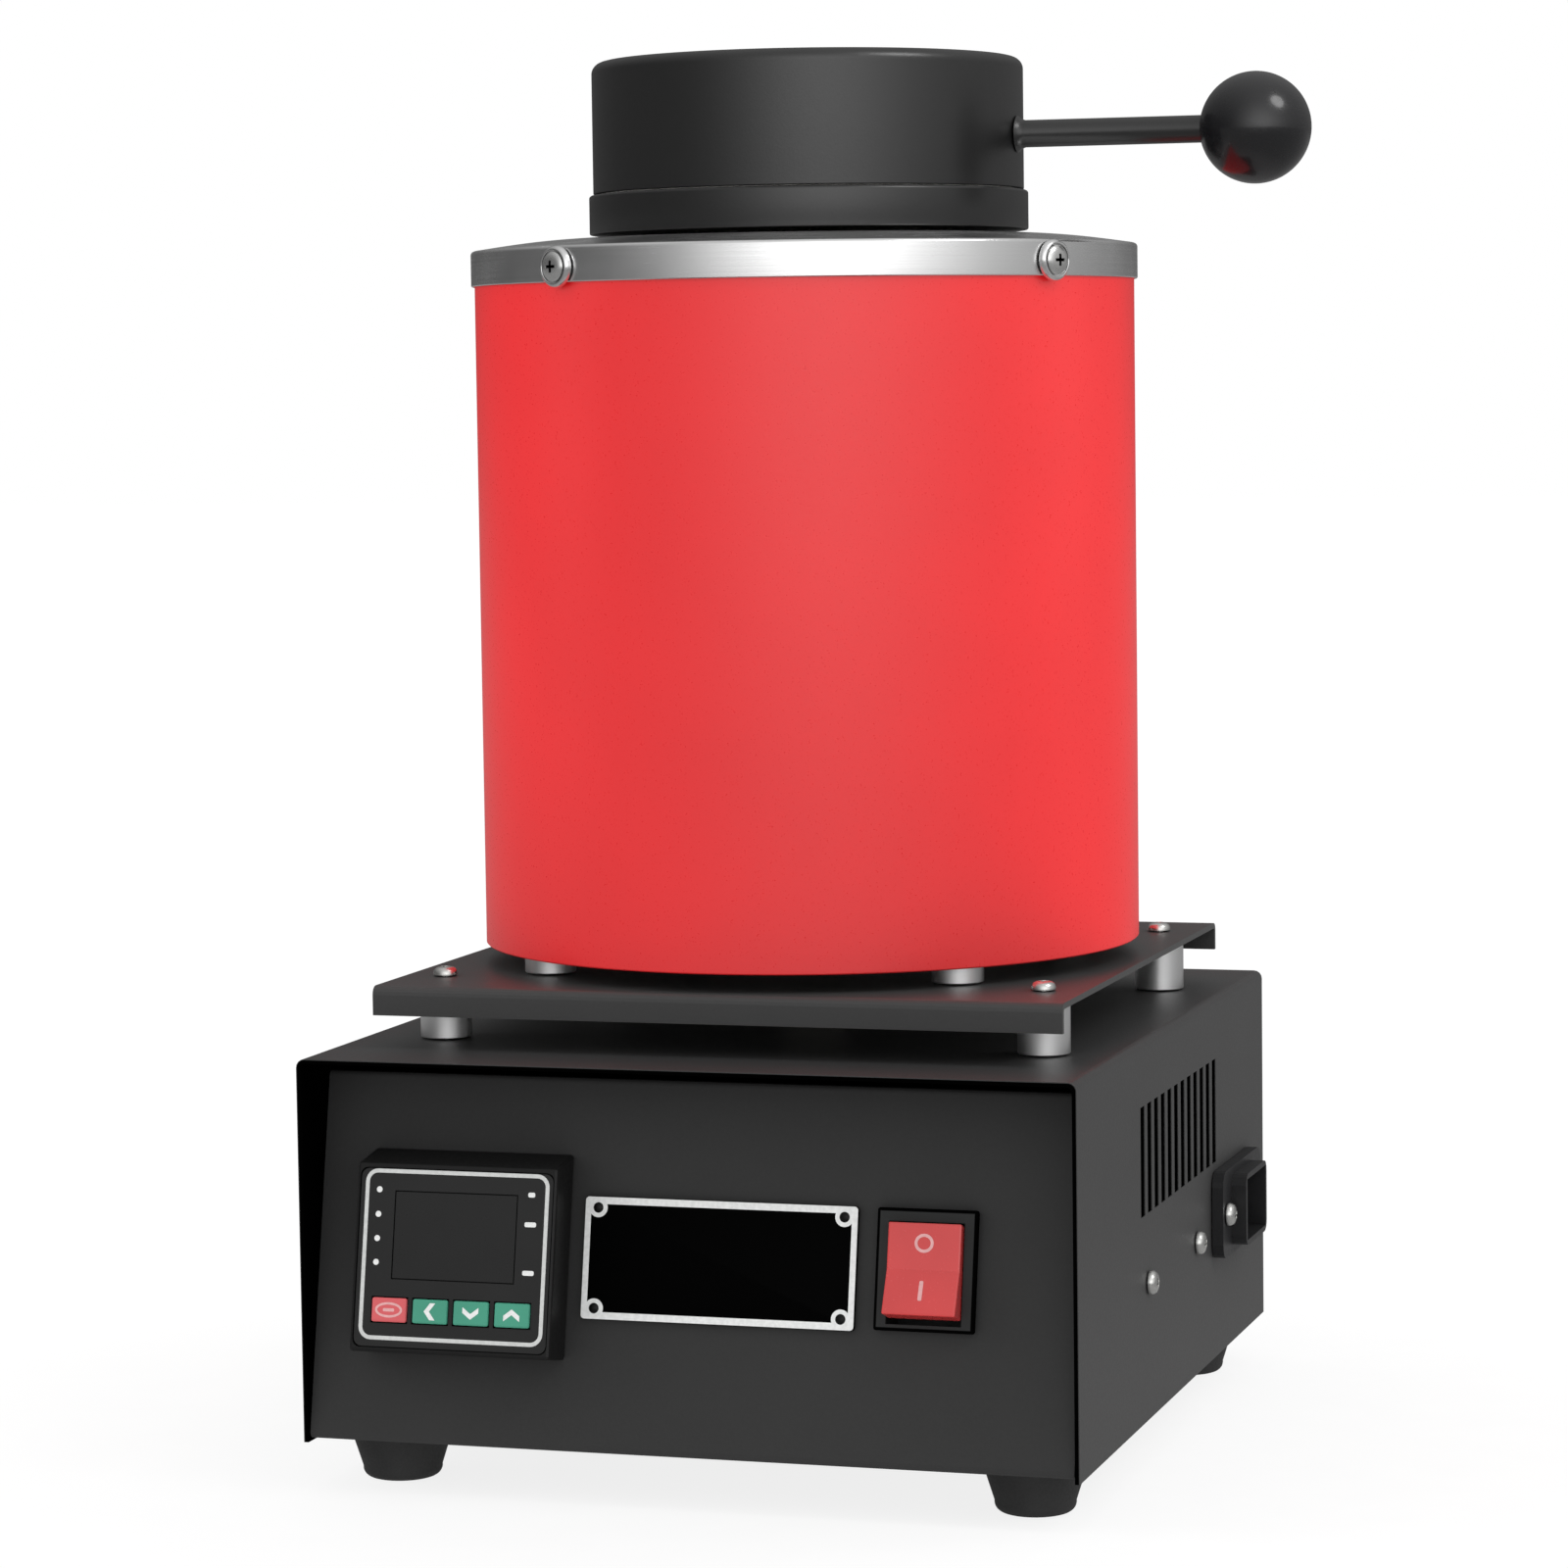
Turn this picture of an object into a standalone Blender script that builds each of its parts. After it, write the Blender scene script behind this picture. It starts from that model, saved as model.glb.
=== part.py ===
"""Electric gold melting furnace: a control box that carries an insulated barrel with a swinging lid.

Metres, +Z up. The front panel faces -Y, and the lid's ball knob points to +X.
"""

from math import atan2, cos, pi, radians, sin, sqrt, tan

import bmesh
import bpy
from mathutils import Matrix, Vector

# Clearance between pieces that touch, and how far a cutter runs past the wall it opens.
TOUCH_GAP = 0.0003
CUT_PAST = 0.002
# How far pieces that a union joins run into each other.
JOIN_DEPTH = 0.0006

# Control box: the bent cover, open at the front, the back and below.
BOX_WIDTH = 0.2000
BOX_DEPTH = 0.2210
BOX_HEIGHT = 0.0970
COVER_SHEET = 0.0012
COVER_BEND = 0.0022

# Vent slots in the right wall. What the right wall carries is measured from its back end.
SLOT_COUNT = 12
SLOT_WIDTH = 0.0046
SLOT_HEIGHT = 0.0280
SLOT_PITCH = 0.0078
SLOT_LAST_FROM_BACK = 0.0654
SLOT_CENTRE_HEIGHT = 0.0669

# Chassis: leaning front panel, floor and back panel in one bent sheet.
CHASSIS_SHEET = 0.0012
CHASSIS_BEND = 0.0016
CHASSIS_RAISE = 0.0008
PANEL_TOP_SETBACK = 0.0185
PANEL_FOOT_SETBACK = 0.0003
PANEL_TOP_HEIGHT = 0.0918
BACK_SETBACK = 0.0015
CHASSIS_LIP = 0.0120

# Feet.
FOOT_HEIGHT = 0.0125
FOOT_TOP_RADIUS = 0.0132
FOOT_BOTTOM_RADIUS = 0.0101
FOOT_EDGE = 0.0024
FOOT_INSET_X = 0.0170
FOOT_INSET_Y = 0.0240

# Temperature controller. Heights are measured up the leaning panel from its foot.
CONTROLLER_X = -0.0581
CONTROLLER_HEIGHT = 0.0461
BEZEL_WIDTH = 0.0528
BEZEL_TALL = 0.0468
BEZEL_DEPTH = 0.0120
BEZEL_TOP_DRAFT = 0.0042
BEZEL_EDGE = 0.0008
CONTROLLER_BODY_SIDE = 0.0446
CONTROLLER_BODY_LENGTH = 0.0520
FACE_WIDTH = 0.0506
FACE_TALL = 0.0440
FACE_SHEET = 0.0012
FACE_SINK = 0.0002
FACE_CORNER = 0.0020
WINDOW_WIDTH = 0.0325
WINDOW_TALL = 0.0220
WINDOW_RISE = 0.0057
WINDOW_SINK = 0.0001
KEY_NAMES = ("key_set", "key_left", "key_down", "key_up")
KEY_WIDTH = 0.0092
KEY_TALL = 0.0060
KEY_LENGTH = 0.0032
KEY_PITCH = 0.0108
KEY_DROP = 0.0129
KEY_PROUD = 0.0005
KEY_EDGE = 0.0005
KEY_TRAVEL = 0.0006

# Nameplate.
PLATE_X = 0.00725
PLATE_HEIGHT = 0.0483
PLATE_WIDTH = 0.0705
PLATE_TALL = 0.0304
PLATE_SHEET = 0.0010
PLATE_CORNER = 0.0010
PLATE_HOLE_RADIUS = 0.00135
PLATE_HOLE_INSET_X = 0.0035
PLATE_HOLE_INSET_Z = 0.0028

# Rocker switch.
SWITCH_X = 0.0602
SWITCH_HEIGHT = 0.0486
SWITCH_WIDTH = 0.0253
SWITCH_TALL = 0.0298
SWITCH_FLANGE = 0.0022
SWITCH_FLANGE_EDGE = 0.0006
SWITCH_BODY_WIDTH = 0.0216
SWITCH_BODY_TALL = 0.0282
SWITCH_BODY_LENGTH = 0.0200
SWITCH_WELL_WIDTH = 0.0190
SWITCH_WELL_TALL = 0.0250
SWITCH_WELL_DEPTH = 0.0110
ROCKER_SIDE_GAP = 0.0003
ROCKER_DROP = 0.0008
ROCKER_HALF_LENGTH = 0.0113
ROCKER_END_OUT = 0.0071
ROCKER_MIDDLE_OUT = 0.0055
ROCKER_END_BACK = 0.0008
ROCKER_KEEL_DEPTH = 0.0050
ROCKER_KEEL_HALF = 0.0040
ROCKER_AXIS_DEPTH = 0.0008
ROCKER_TILT = 9.0
ROCKER_EDGE = 0.0004
ROCKER_PIN_RADIUS = 0.0012
ROCKER_PIN_LENGTH = 0.0007
ROCKER_PIN_CLEARANCE = 0.00012

# Mains inlet on the right wall, towards the back.
INLET_FROM_BACK = 0.0447
INLET_HEIGHT = 0.0390
INLET_FLANGE_LENGTH = 0.0500
INLET_FLANGE_TALL = 0.0236
INLET_FLANGE_THICK = 0.0030
INLET_FLANGE_CORNER = 0.0040
INLET_HOOD_OUT = 0.0040
INLET_HOOD_CORNER = 0.0030
INLET_BODY_LENGTH = 0.0276
INLET_BODY_TALL = 0.0196
INLET_BODY_DEPTH = 0.0170
INLET_MOUTH_LENGTH = 0.0246
INLET_MOUTH_TALL = 0.0166
INLET_MOUTH_DEPTH = 0.0180
INLET_PIN_WIDTH = 0.0020
INLET_PIN_TALL = 0.0040
INLET_PIN_LENGTH = 0.0130
INLET_PIN_SPREAD = 0.0070
INLET_PIN_OFFSET = 0.0020
INLET_SCREW_SPREAD = 0.0200

# Pan-head screws: those of the tray, the relay and the inlet share one form.
PAN_HEAD_RADIUS = 0.0031
PAN_HEAD_HEIGHT = 0.0022
SCREW_SHANK_RADIUS = 0.0015
SCREW_HOLE_CLEARANCE = 0.0003
RECESS_LENGTH = 0.0032
RECESS_WIDTH = 0.0008
RECESS_DEPTH = 0.0011

# Solid state relay inside the right wall.
RELAY_FIRST_SCREW_FROM_BACK = 0.1454
RELAY_SECOND_SCREW_FROM_BACK = 0.0878
RELAY_SCREW_HEIGHT = 0.0352
RELAY_SCREW_LENGTH = 0.0060
RELAY_BASE_LENGTH = 0.0720
RELAY_BASE_TALL = 0.0440
RELAY_BASE_THICK = 0.0050
RELAY_CASE_LENGTH = 0.0480
RELAY_CASE_THICK = 0.0200

# Terminal block on the chassis floor.
TERMINAL_X = -0.0450
TERMINAL_Y = 0.0550
TERMINAL_LENGTH = 0.0480
TERMINAL_DEPTH = 0.0200
TERMINAL_HEIGHT = 0.0150
TERMINAL_SLOTS = 5
TERMINAL_SLOT_WIDTH = 0.0060
TERMINAL_SLOT_DEPTH = 0.0050
TERMINAL_SLOT_PITCH = 0.0090

# Sheet tray above the box. It and all that it carries stand a little to the right of the box's middle.
STACK_OFFSET_X = 0.0018
TRAY_WIDTH = 0.1792
TRAY_DEPTH = 0.1778
TRAY_SHEET = 0.0015
TRAY_BEND = 0.0022
TRAY_FLANGE = 0.0074
TRAY_RISE = 0.0159

# Standoffs: the lower ones stand on the box, the upper ones on the tray.
STANDOFF_RADIUS = 0.0066
STANDOFF_BORE = 0.0020
LOWER_STANDOFF_INSET_X = 0.0106
LOWER_STANDOFF_INSET_Y = 0.0239
UPPER_STANDOFF_INSET = 0.0095
TRAY_SCREW_PAST = 0.0050

# Barrel.
BARREL_RADIUS = 0.0861
BARREL_SHEET = 0.0010
BARREL_RISE = 0.0047
BARREL_HEIGHT = 0.1798
FLOOR_SET_UP = 0.0050
FLOOR_SHEET = 0.0015
INSULATION_SIDE_GAP = 0.0005
INSULATION_FLOOR_THICK = 0.0180
SLEEVE_LIP_HEIGHT = 0.0120

# Muffle cup, coil and crucible.
MOUTH_RADIUS = 0.0420
MUFFLE_WALL = 0.0080
MUFFLE_FLOOR = 0.0080
COIL_TURNS = 9
COIL_WIRE_RADIUS = 0.0009
COIL_FIRST_RISE = 0.0120
COIL_LAST_DROP = 0.0222
COIL_POINTS_PER_TURN = 16
COIL_SIDE_GAP = 0.0006
CRUCIBLE_BELOW_MUFFLE_TOP = 0.0189
CRUCIBLE_TOP_RADIUS = 0.0380
CRUCIBLE_BOTTOM_RADIUS = 0.0320
CRUCIBLE_WALL = 0.0060
CRUCIBLE_FLOOR = 0.0090
CRUCIBLE_EDGE = 0.0010

# Thermocouple and lead sleeve on the barrel's axis.
THERMOCOUPLE_RADIUS = 0.0020
THERMOCOUPLE_BELOW_BOX_TOP = 0.0200
THERMOCOUPLE_INTO_MUFFLE = 0.0050
LEAD_SLEEVE_RADIUS = 0.0070
LEAD_SLEEVE_WALL = 0.0040
LEAD_SLEEVE_BELOW_BOX_TOP = 0.0080
LEAD_HOLE_CLEARANCE = 0.0005

# Top cap: polished sheet with a turned-down rim, domed up to the lid.
CAP_SHEET = 0.0006
CAP_RIM_HEIGHT = 0.0092
CAP_BEND = 0.0010
DOME_RISE = 0.0026
DOME_FLAT_RADIUS = 0.0590

# Cap screws in cup washers. The first angle is from +X.
CAP_SCREW_COUNT = 4
CAP_SCREW_FIRST_ANGLE = -28.0
CAP_SCREW_DROP = 0.0054
CUP_RADIUS = 0.0053
CUP_HEIGHT = 0.0016
CUP_CROWN_SHARE = 0.8
CUP_BORE = 0.0018
CUP_SEAT_RADIUS = 0.0041
CUP_SEAT_HEIGHT = 0.0007
CAP_HEAD_RADIUS = 0.0037
CAP_HEAD_HEIGHT = 0.0015
CAP_SCREW_LENGTH = 0.0024
CAP_RECESS_LENGTH = 0.0040

# Lid: drum on a slightly wider flange ring, filled with insulation. It rests a little off the barrel's axis.
LID_OFFSET_X = 0.0015
LID_LIFT = 0.0013
LID_FLANGE_RADIUS = 0.0573
LID_FLANGE_HEIGHT = 0.0105
LID_FLANGE_EDGE = 0.0006
LID_RADIUS = 0.0562
LID_DRUM_HEIGHT = 0.0340
LID_DRUM_EDGE = 0.0030
LID_SHEET = 0.0012
LID_FILL_GAP = 0.0004
LID_PLATE = 0.0030
LID_PLATE_BORE = 0.0430
LID_FILL_RISE = 0.0006

# Pivot bolt behind the mouth: its head is inside the lid, and its nut is under the cap.
PIVOT_OFFSET = 0.0487
PIVOT_RADIUS = 0.0025
PIVOT_CLEARANCE = 0.0003
PIVOT_HEAD_RADIUS = 0.0045
PIVOT_HEAD_HEIGHT = 0.0035
PIVOT_NUT_HEIGHT = 0.0035
PIVOT_REACH = 0.0060
PIVOT_POCKET_CLEARANCE = 0.0005

# Handle rod and ball knob.
ROD_RADIUS = 0.0035
ROD_DROP = 0.0204
ROD_ROOT_RADIUS = 0.0047
ROD_ROOT_LENGTH = 0.0016
BALL_RADIUS = 0.0142
BALL_REACH = 0.1186
BALL_BORE_CLEARANCE = 0.0002
BALL_BORE_DEPTH = 0.0100

# How finely round pieces are divided, and how close two points may lie before they become one.
MERGE_DISTANCE = 0.00005
BIG_STEPS = 56
HIDDEN_STEPS = 32
SMALL_STEPS = 20
SCREW_STEPS = 12
PIN_STEPS = 12
BEND_STEPS = 4
INNER_BEND_STEPS = 2
DOME_STEPS = 4
BEVEL_STEPS = 2
BALL_SEGMENTS = 28
BALL_RINGS = 16

# Heights of the levels that pieces stand on.
BOX_BOTTOM = FOOT_HEIGHT
BOX_TOP = BOX_BOTTOM + BOX_HEIGHT
CHASSIS_BOTTOM = BOX_BOTTOM + CHASSIS_RAISE
TRAY_TOP = BOX_TOP + TRAY_RISE
BARREL_BOTTOM = TRAY_TOP + BARREL_RISE
BARREL_TOP = BARREL_BOTTOM + BARREL_HEIGHT
FLOOR_BOTTOM = BARREL_BOTTOM + FLOOR_SET_UP
FLOOR_TOP = FLOOR_BOTTOM + FLOOR_SHEET
CAP_SHOULDER = BARREL_TOP + CAP_BEND
CAP_RADIUS = BARREL_RADIUS + TOUCH_GAP + CAP_SHEET
CAP_TOP = CAP_SHOULDER + DOME_RISE
LID_BOTTOM = CAP_TOP + LID_LIFT
DRUM_BOTTOM = LID_BOTTOM + LID_FLANGE_HEIGHT
LID_TOP = DRUM_BOTTOM + LID_DRUM_HEIGHT
ROD_LEVEL = LID_TOP - ROD_DROP
INSULATION_RADIUS = BARREL_RADIUS - BARREL_SHEET - INSULATION_SIDE_GAP
INSULATION_BOTTOM = FLOOR_TOP + TOUCH_GAP
MUFFLE_RADIUS = MOUTH_RADIUS + MUFFLE_WALL
COIL_RADIUS = MUFFLE_RADIUS + TOUCH_GAP + COIL_WIRE_RADIUS
# The wire bends at points outside its circle, so that its straight runs clear the muffle.
COIL_REACH = COIL_RADIUS / cos(pi / COIL_POINTS_PER_TURN)
SLEEVE_BORE = COIL_REACH + COIL_WIRE_RADIUS + COIL_SIDE_GAP
MUFFLE_BOTTOM = INSULATION_BOTTOM + INSULATION_FLOOR_THICK + TOUCH_GAP
SLEEVE_TOP = CAP_SHOULDER - CAP_SHEET - TOUCH_GAP
MUFFLE_TOP = SLEEVE_TOP - SLEEVE_LIP_HEIGHT - TOUCH_GAP
CRUCIBLE_TOP = MUFFLE_TOP - CRUCIBLE_BELOW_MUFFLE_TOP
COIL_START = MUFFLE_BOTTOM + COIL_FIRST_RISE
COIL_PITCH = (MUFFLE_TOP - COIL_LAST_DROP - COIL_START) / COIL_TURNS
LID_FILL_RADIUS = LID_RADIUS - LID_SHEET - LID_FILL_GAP
LID_PLATE_TOP = LID_BOTTOM + LID_PLATE
PIVOT_HEAD_TOP = LID_PLATE_TOP + TOUCH_GAP + PIVOT_HEAD_HEIGHT
PIVOT_END = CAP_TOP - CAP_SHEET - PIVOT_REACH

# Standoffs: the lower ones follow the tray's edges, and the upper ones the barrel's wall.
LOWER_STANDOFF_X = TRAY_WIDTH / 2 - LOWER_STANDOFF_INSET_X
LOWER_STANDOFF_Y = TRAY_DEPTH / 2 - LOWER_STANDOFF_INSET_Y
UPPER_STANDOFF_SIDE = (BARREL_RADIUS - UPPER_STANDOFF_INSET) / sqrt(2)

# Front panel: where its outer face starts, and how far it leans back.
PANEL_FOOT_Y = -BOX_DEPTH / 2 + PANEL_FOOT_SETBACK
PANEL_TOP_Y = -BOX_DEPTH / 2 + PANEL_TOP_SETBACK
PANEL_LEAN = atan2(PANEL_TOP_Y - PANEL_FOOT_Y, BOX_BOTTOM + PANEL_TOP_HEIGHT - CHASSIS_BOTTOM)

# The controller's lower front edge stands a little in front of the cover.
CONTROLLER_EDGE_HEIGHT = CONTROLLER_HEIGHT - BEZEL_TALL / 2 + BEZEL_EDGE
CONTROLLER_EDGE_OUT = TOUCH_GAP + BEZEL_DEPTH
FRONT_END = (
    PANEL_FOOT_Y - CONTROLLER_EDGE_OUT * cos(PANEL_LEAN) + CONTROLLER_EDGE_HEIGHT * sin(PANEL_LEAN)
)

# The whole object is centred on its own width and depth. The ball knob sticks out on one side only.
KNOB_END = STACK_OFFSET_X + LID_OFFSET_X + BALL_REACH + BALL_RADIUS
CENTRE_SHIFT_X = (BOX_WIDTH / 2 - KNOB_END) / 2
CENTRE_SHIFT_Y = -(BOX_DEPTH / 2 + FRONT_END) / 2

CORNER_SIGNS = {
    "front_left": (-1, -1),
    "front_right": (1, -1),
    "back_left": (-1, 1),
    "back_right": (1, 1),
}


def clear_scene():
    for obj in list(bpy.data.objects):
        bpy.data.objects.remove(obj, do_unlink=True)


def new_collection(name):
    collection = bpy.data.collections.new(name)
    bpy.context.scene.collection.children.link(collection)
    return collection


def material(name, colour, roughness, metallic=0.0):
    made = bpy.data.materials.new(name)
    made.use_nodes = True
    shader = made.node_tree.nodes["Principled BSDF"]
    shader.inputs["Base Color"].default_value = (*colour, 1.0)
    shader.inputs["Roughness"].default_value = roughness
    shader.inputs["Metallic"].default_value = metallic
    made.diffuse_color = (*colour, 1.0)
    return made


def add_object(name, mesh, collection, look=None, parent=None, location=(0, 0, 0), rotation=(0, 0, 0)):
    obj = bpy.data.objects.new(name, mesh)
    collection.objects.link(obj)
    obj.location = location
    obj.rotation_euler = rotation
    obj.parent = parent
    if look and not mesh.materials:
        mesh.materials.append(look)
    return obj


def mesh_from(name, build):
    """A mesh that the function build fills in."""
    shape = bmesh.new()
    build(shape)
    bmesh.ops.recalc_face_normals(shape, faces=shape.faces)
    mesh = bpy.data.meshes.new(name)
    shape.to_mesh(mesh)
    shape.free()
    return mesh


def smooth(mesh):
    mesh.shade_smooth()
    return mesh


def box_mesh(name, boxes):
    """One mesh of boxes, each given as centre and size."""

    def build(shape):
        for centre, size in boxes:
            place = Matrix.Translation(centre) @ Matrix.Diagonal((*size, 1.0))
            bmesh.ops.create_cube(shape, size=1.0, matrix=place)

    return mesh_from(name, build)


def rounded_slab_mesh(name, width, tall, thick, corner):
    """A flat slab in the XZ plane from y = 0 to y = thick, with rounded corners."""

    def build(shape):
        ring = []
        centres = ((1, 1, 0), (-1, 1, 90), (-1, -1, 180), (1, -1, 270))
        for side_x, side_z, start in centres:
            for step in range(BEND_STEPS + 1):
                angle = radians(start + 90 * step / BEND_STEPS)
                x = side_x * (width / 2 - corner) + corner * cos(angle)
                z = side_z * (tall / 2 - corner) + corner * sin(angle)
                ring.append(shape.verts.new((x, 0, z)))
        face = shape.faces.new(ring)
        grown = bmesh.ops.extrude_face_region(shape, geom=[face])
        moved = [v for v in grown["geom"] if isinstance(v, bmesh.types.BMVert)]
        bmesh.ops.translate(shape, verts=moved, vec=(0, thick, 0))

    return mesh_from(name, build)


def prism_mesh(name, outline, start_x, end_x):
    """A flat outline of (y, z) points carried along X."""

    def build(shape):
        ring = [shape.verts.new((start_x, y, z)) for y, z in outline]
        face = shape.faces.new(ring)
        grown = bmesh.ops.extrude_face_region(shape, geom=[face])
        moved = [v for v in grown["geom"] if isinstance(v, bmesh.types.BMVert)]
        bmesh.ops.translate(shape, verts=moved, vec=(end_x - start_x, 0, 0))

    return mesh_from(name, build)


def bore_mesh(name, bores, steps):
    """One mesh of round cutters, each given as its two ends and its radius."""

    def build(shape):
        for start, end, radius in bores:
            start = Vector(start)
            end = Vector(end)
            along = end - start
            turn = along.to_track_quat("Z", "X").to_matrix().to_4x4()
            place = Matrix.Translation((start + end) / 2) @ turn
            bmesh.ops.create_cone(
                shape,
                cap_ends=True,
                segments=steps,
                radius1=radius,
                radius2=radius,
                depth=along.length,
                matrix=place,
            )

    return mesh_from(name, build)


def arc(centre, radius, start, end, steps):
    """Points of an arc between two angles in degrees."""
    points = []
    for step in range(steps + 1):
        angle = radians(start + (end - start) * step / steps)
        points.append((centre[0] + radius * cos(angle), centre[1] + radius * sin(angle)))
    return points


def bent_path(corners, radius):
    """The open path through the corners, each inner corner rounded to the radius."""
    path = [Vector(corners[0])]
    for before, here, after in zip(corners, corners[1:], corners[2:]):
        here = Vector(here)
        back = (Vector(before) - here).normalized()
        ahead = (Vector(after) - here).normalized()
        half = back.angle(ahead) / 2
        centre = here + (back + ahead).normalized() * radius / sin(half)
        first = here + back * radius / tan(half) - centre
        last = here + ahead * radius / tan(half) - centre
        turn = first.angle_signed(last)
        for step in range(BEND_STEPS + 1):
            angle = -turn * step / BEND_STEPS
            path.append(centre + Matrix.Rotation(angle, 2) @ first)
    path.append(Vector(corners[-1]))
    return path


def sheet_mesh(name, path, half_width, place):
    """A strip along the path, as wide as twice half_width. place makes a point of along, across and up."""

    def build(shape):
        rows = []
        for along, up in path:
            rows.append([shape.verts.new(place(along, side * half_width, up)) for side in (-1, 1)])
        for low, high in zip(rows, rows[1:]):
            shape.faces.new((low[0], low[1], high[1], high[0]))

    return mesh_from(name, build)


def thicken(obj, thickness, side):
    wall = obj.modifiers.new("wall", "SOLIDIFY")
    wall.thickness = thickness
    wall.offset = side
    wall.use_even_offset = True


def turn(obj, steps):
    """Turns the object's profile a full circle about its Z axis."""
    screw = obj.modifiers.new("turn", "SCREW")
    screw.axis = "Z"
    screw.steps = steps
    screw.render_steps = steps
    screw.use_merge_vertices = True
    screw.merge_threshold = MERGE_DISTANCE
    screw.use_smooth_shade = True


def profile_mesh(name, points, closed):
    """The half outline of a turned piece as (radius, height) points, down its outer side."""
    count = len(points)
    edges = [(i, i + 1) for i in range(count - 1)]
    if closed:
        edges.append((count - 1, 0))
    mesh = bpy.data.meshes.new(name)
    mesh.from_pydata([(radius, 0, height) for radius, height in points], edges, [])
    return mesh


def turned(name, points, steps, collection, look, closed=False, **placing):
    obj = add_object(name, profile_mesh(name, points, closed), collection, look, **placing)
    turn(obj, steps)
    return obj


def ring_profile(outer, bore, bottom, top):
    return [(outer, top), (outer, bottom), (bore, bottom), (bore, top)]


def bevel(obj, width, angle=40.0):
    edge = obj.modifiers.new("edge", "BEVEL")
    edge.width = width
    edge.segments = BEVEL_STEPS
    edge.limit_method = "ANGLE"
    edge.angle_limit = radians(angle)
    edge.use_clamp_overlap = True


def boolean(obj, other, operation):
    made = obj.modifiers.new(operation.lower(), "BOOLEAN")
    made.operation = operation
    made.solver = "EXACT"
    made.object = other


def cutter(name, mesh, **placing):
    obj = add_object(name, mesh, CUTTERS, **placing)
    obj.hide_render = True
    obj.display_type = "WIRE"
    return obj


def cut(obj, name, mesh, **placing):
    boolean(obj, cutter(name, mesh, **placing), "DIFFERENCE")


def join(obj, name, mesh, **placing):
    boolean(obj, cutter(name, mesh, **placing), "UNION")


clear_scene()
FURNACE = new_collection("gold_melting_furnace")
CUTTERS = new_collection("cutters")

BLACK_PAINT = material("black_paint", (0.045, 0.045, 0.047), 0.45)
TRAY_PAINT = material("tray_paint", (0.060, 0.060, 0.062), 0.42)
LID_PAINT = material("lid_paint", (0.030, 0.030, 0.031), 0.55)
RED_PAINT = material("red_powder_paint", (0.820, 0.030, 0.040), 0.50)
RUBBER = material("foot_rubber", (0.020, 0.020, 0.020), 0.75)
DARK_PLASTIC = material("dark_plastic", (0.022, 0.022, 0.024), 0.40)
FACE_PLASTIC = material("face_plastic", (0.018, 0.018, 0.019), 0.30)
WINDOW_PLASTIC = material("window_plastic", (0.010, 0.010, 0.011), 0.12)
KEY_RED = material("key_red", (0.720, 0.130, 0.140), 0.50)
KEY_GREEN = material("key_green", (0.070, 0.350, 0.240), 0.50)
PLATE_BLACK = material("plate_black", (0.005, 0.005, 0.005), 0.35)
ROCKER_RED = material("rocker_red", (0.640, 0.045, 0.045), 0.30)
ZINC = material("zinc_steel", (0.620, 0.620, 0.600), 0.32, 1.0)
STEEL = material("polished_steel", (0.800, 0.800, 0.800), 0.18, 1.0)
ALUMINIUM = material("standoff_aluminium", (0.820, 0.820, 0.810), 0.35, 1.0)
RELAY_PLASTIC = material("relay_plastic", (0.640, 0.620, 0.560), 0.55)
CERAMIC = material("white_ceramic", (0.780, 0.750, 0.690), 0.80)
FIBRE = material("ceramic_fibre", (0.850, 0.840, 0.800), 0.95)
COIL_WIRE = material("coil_wire", (0.300, 0.270, 0.240), 0.50, 1.0)
GRAPHITE = material("graphite", (0.040, 0.040, 0.042), 0.60)
GLOSS_BLACK = material("gloss_black", (0.012, 0.012, 0.013), 0.08)


def wall_y(from_back):
    return BOX_DEPTH / 2 - from_back


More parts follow.
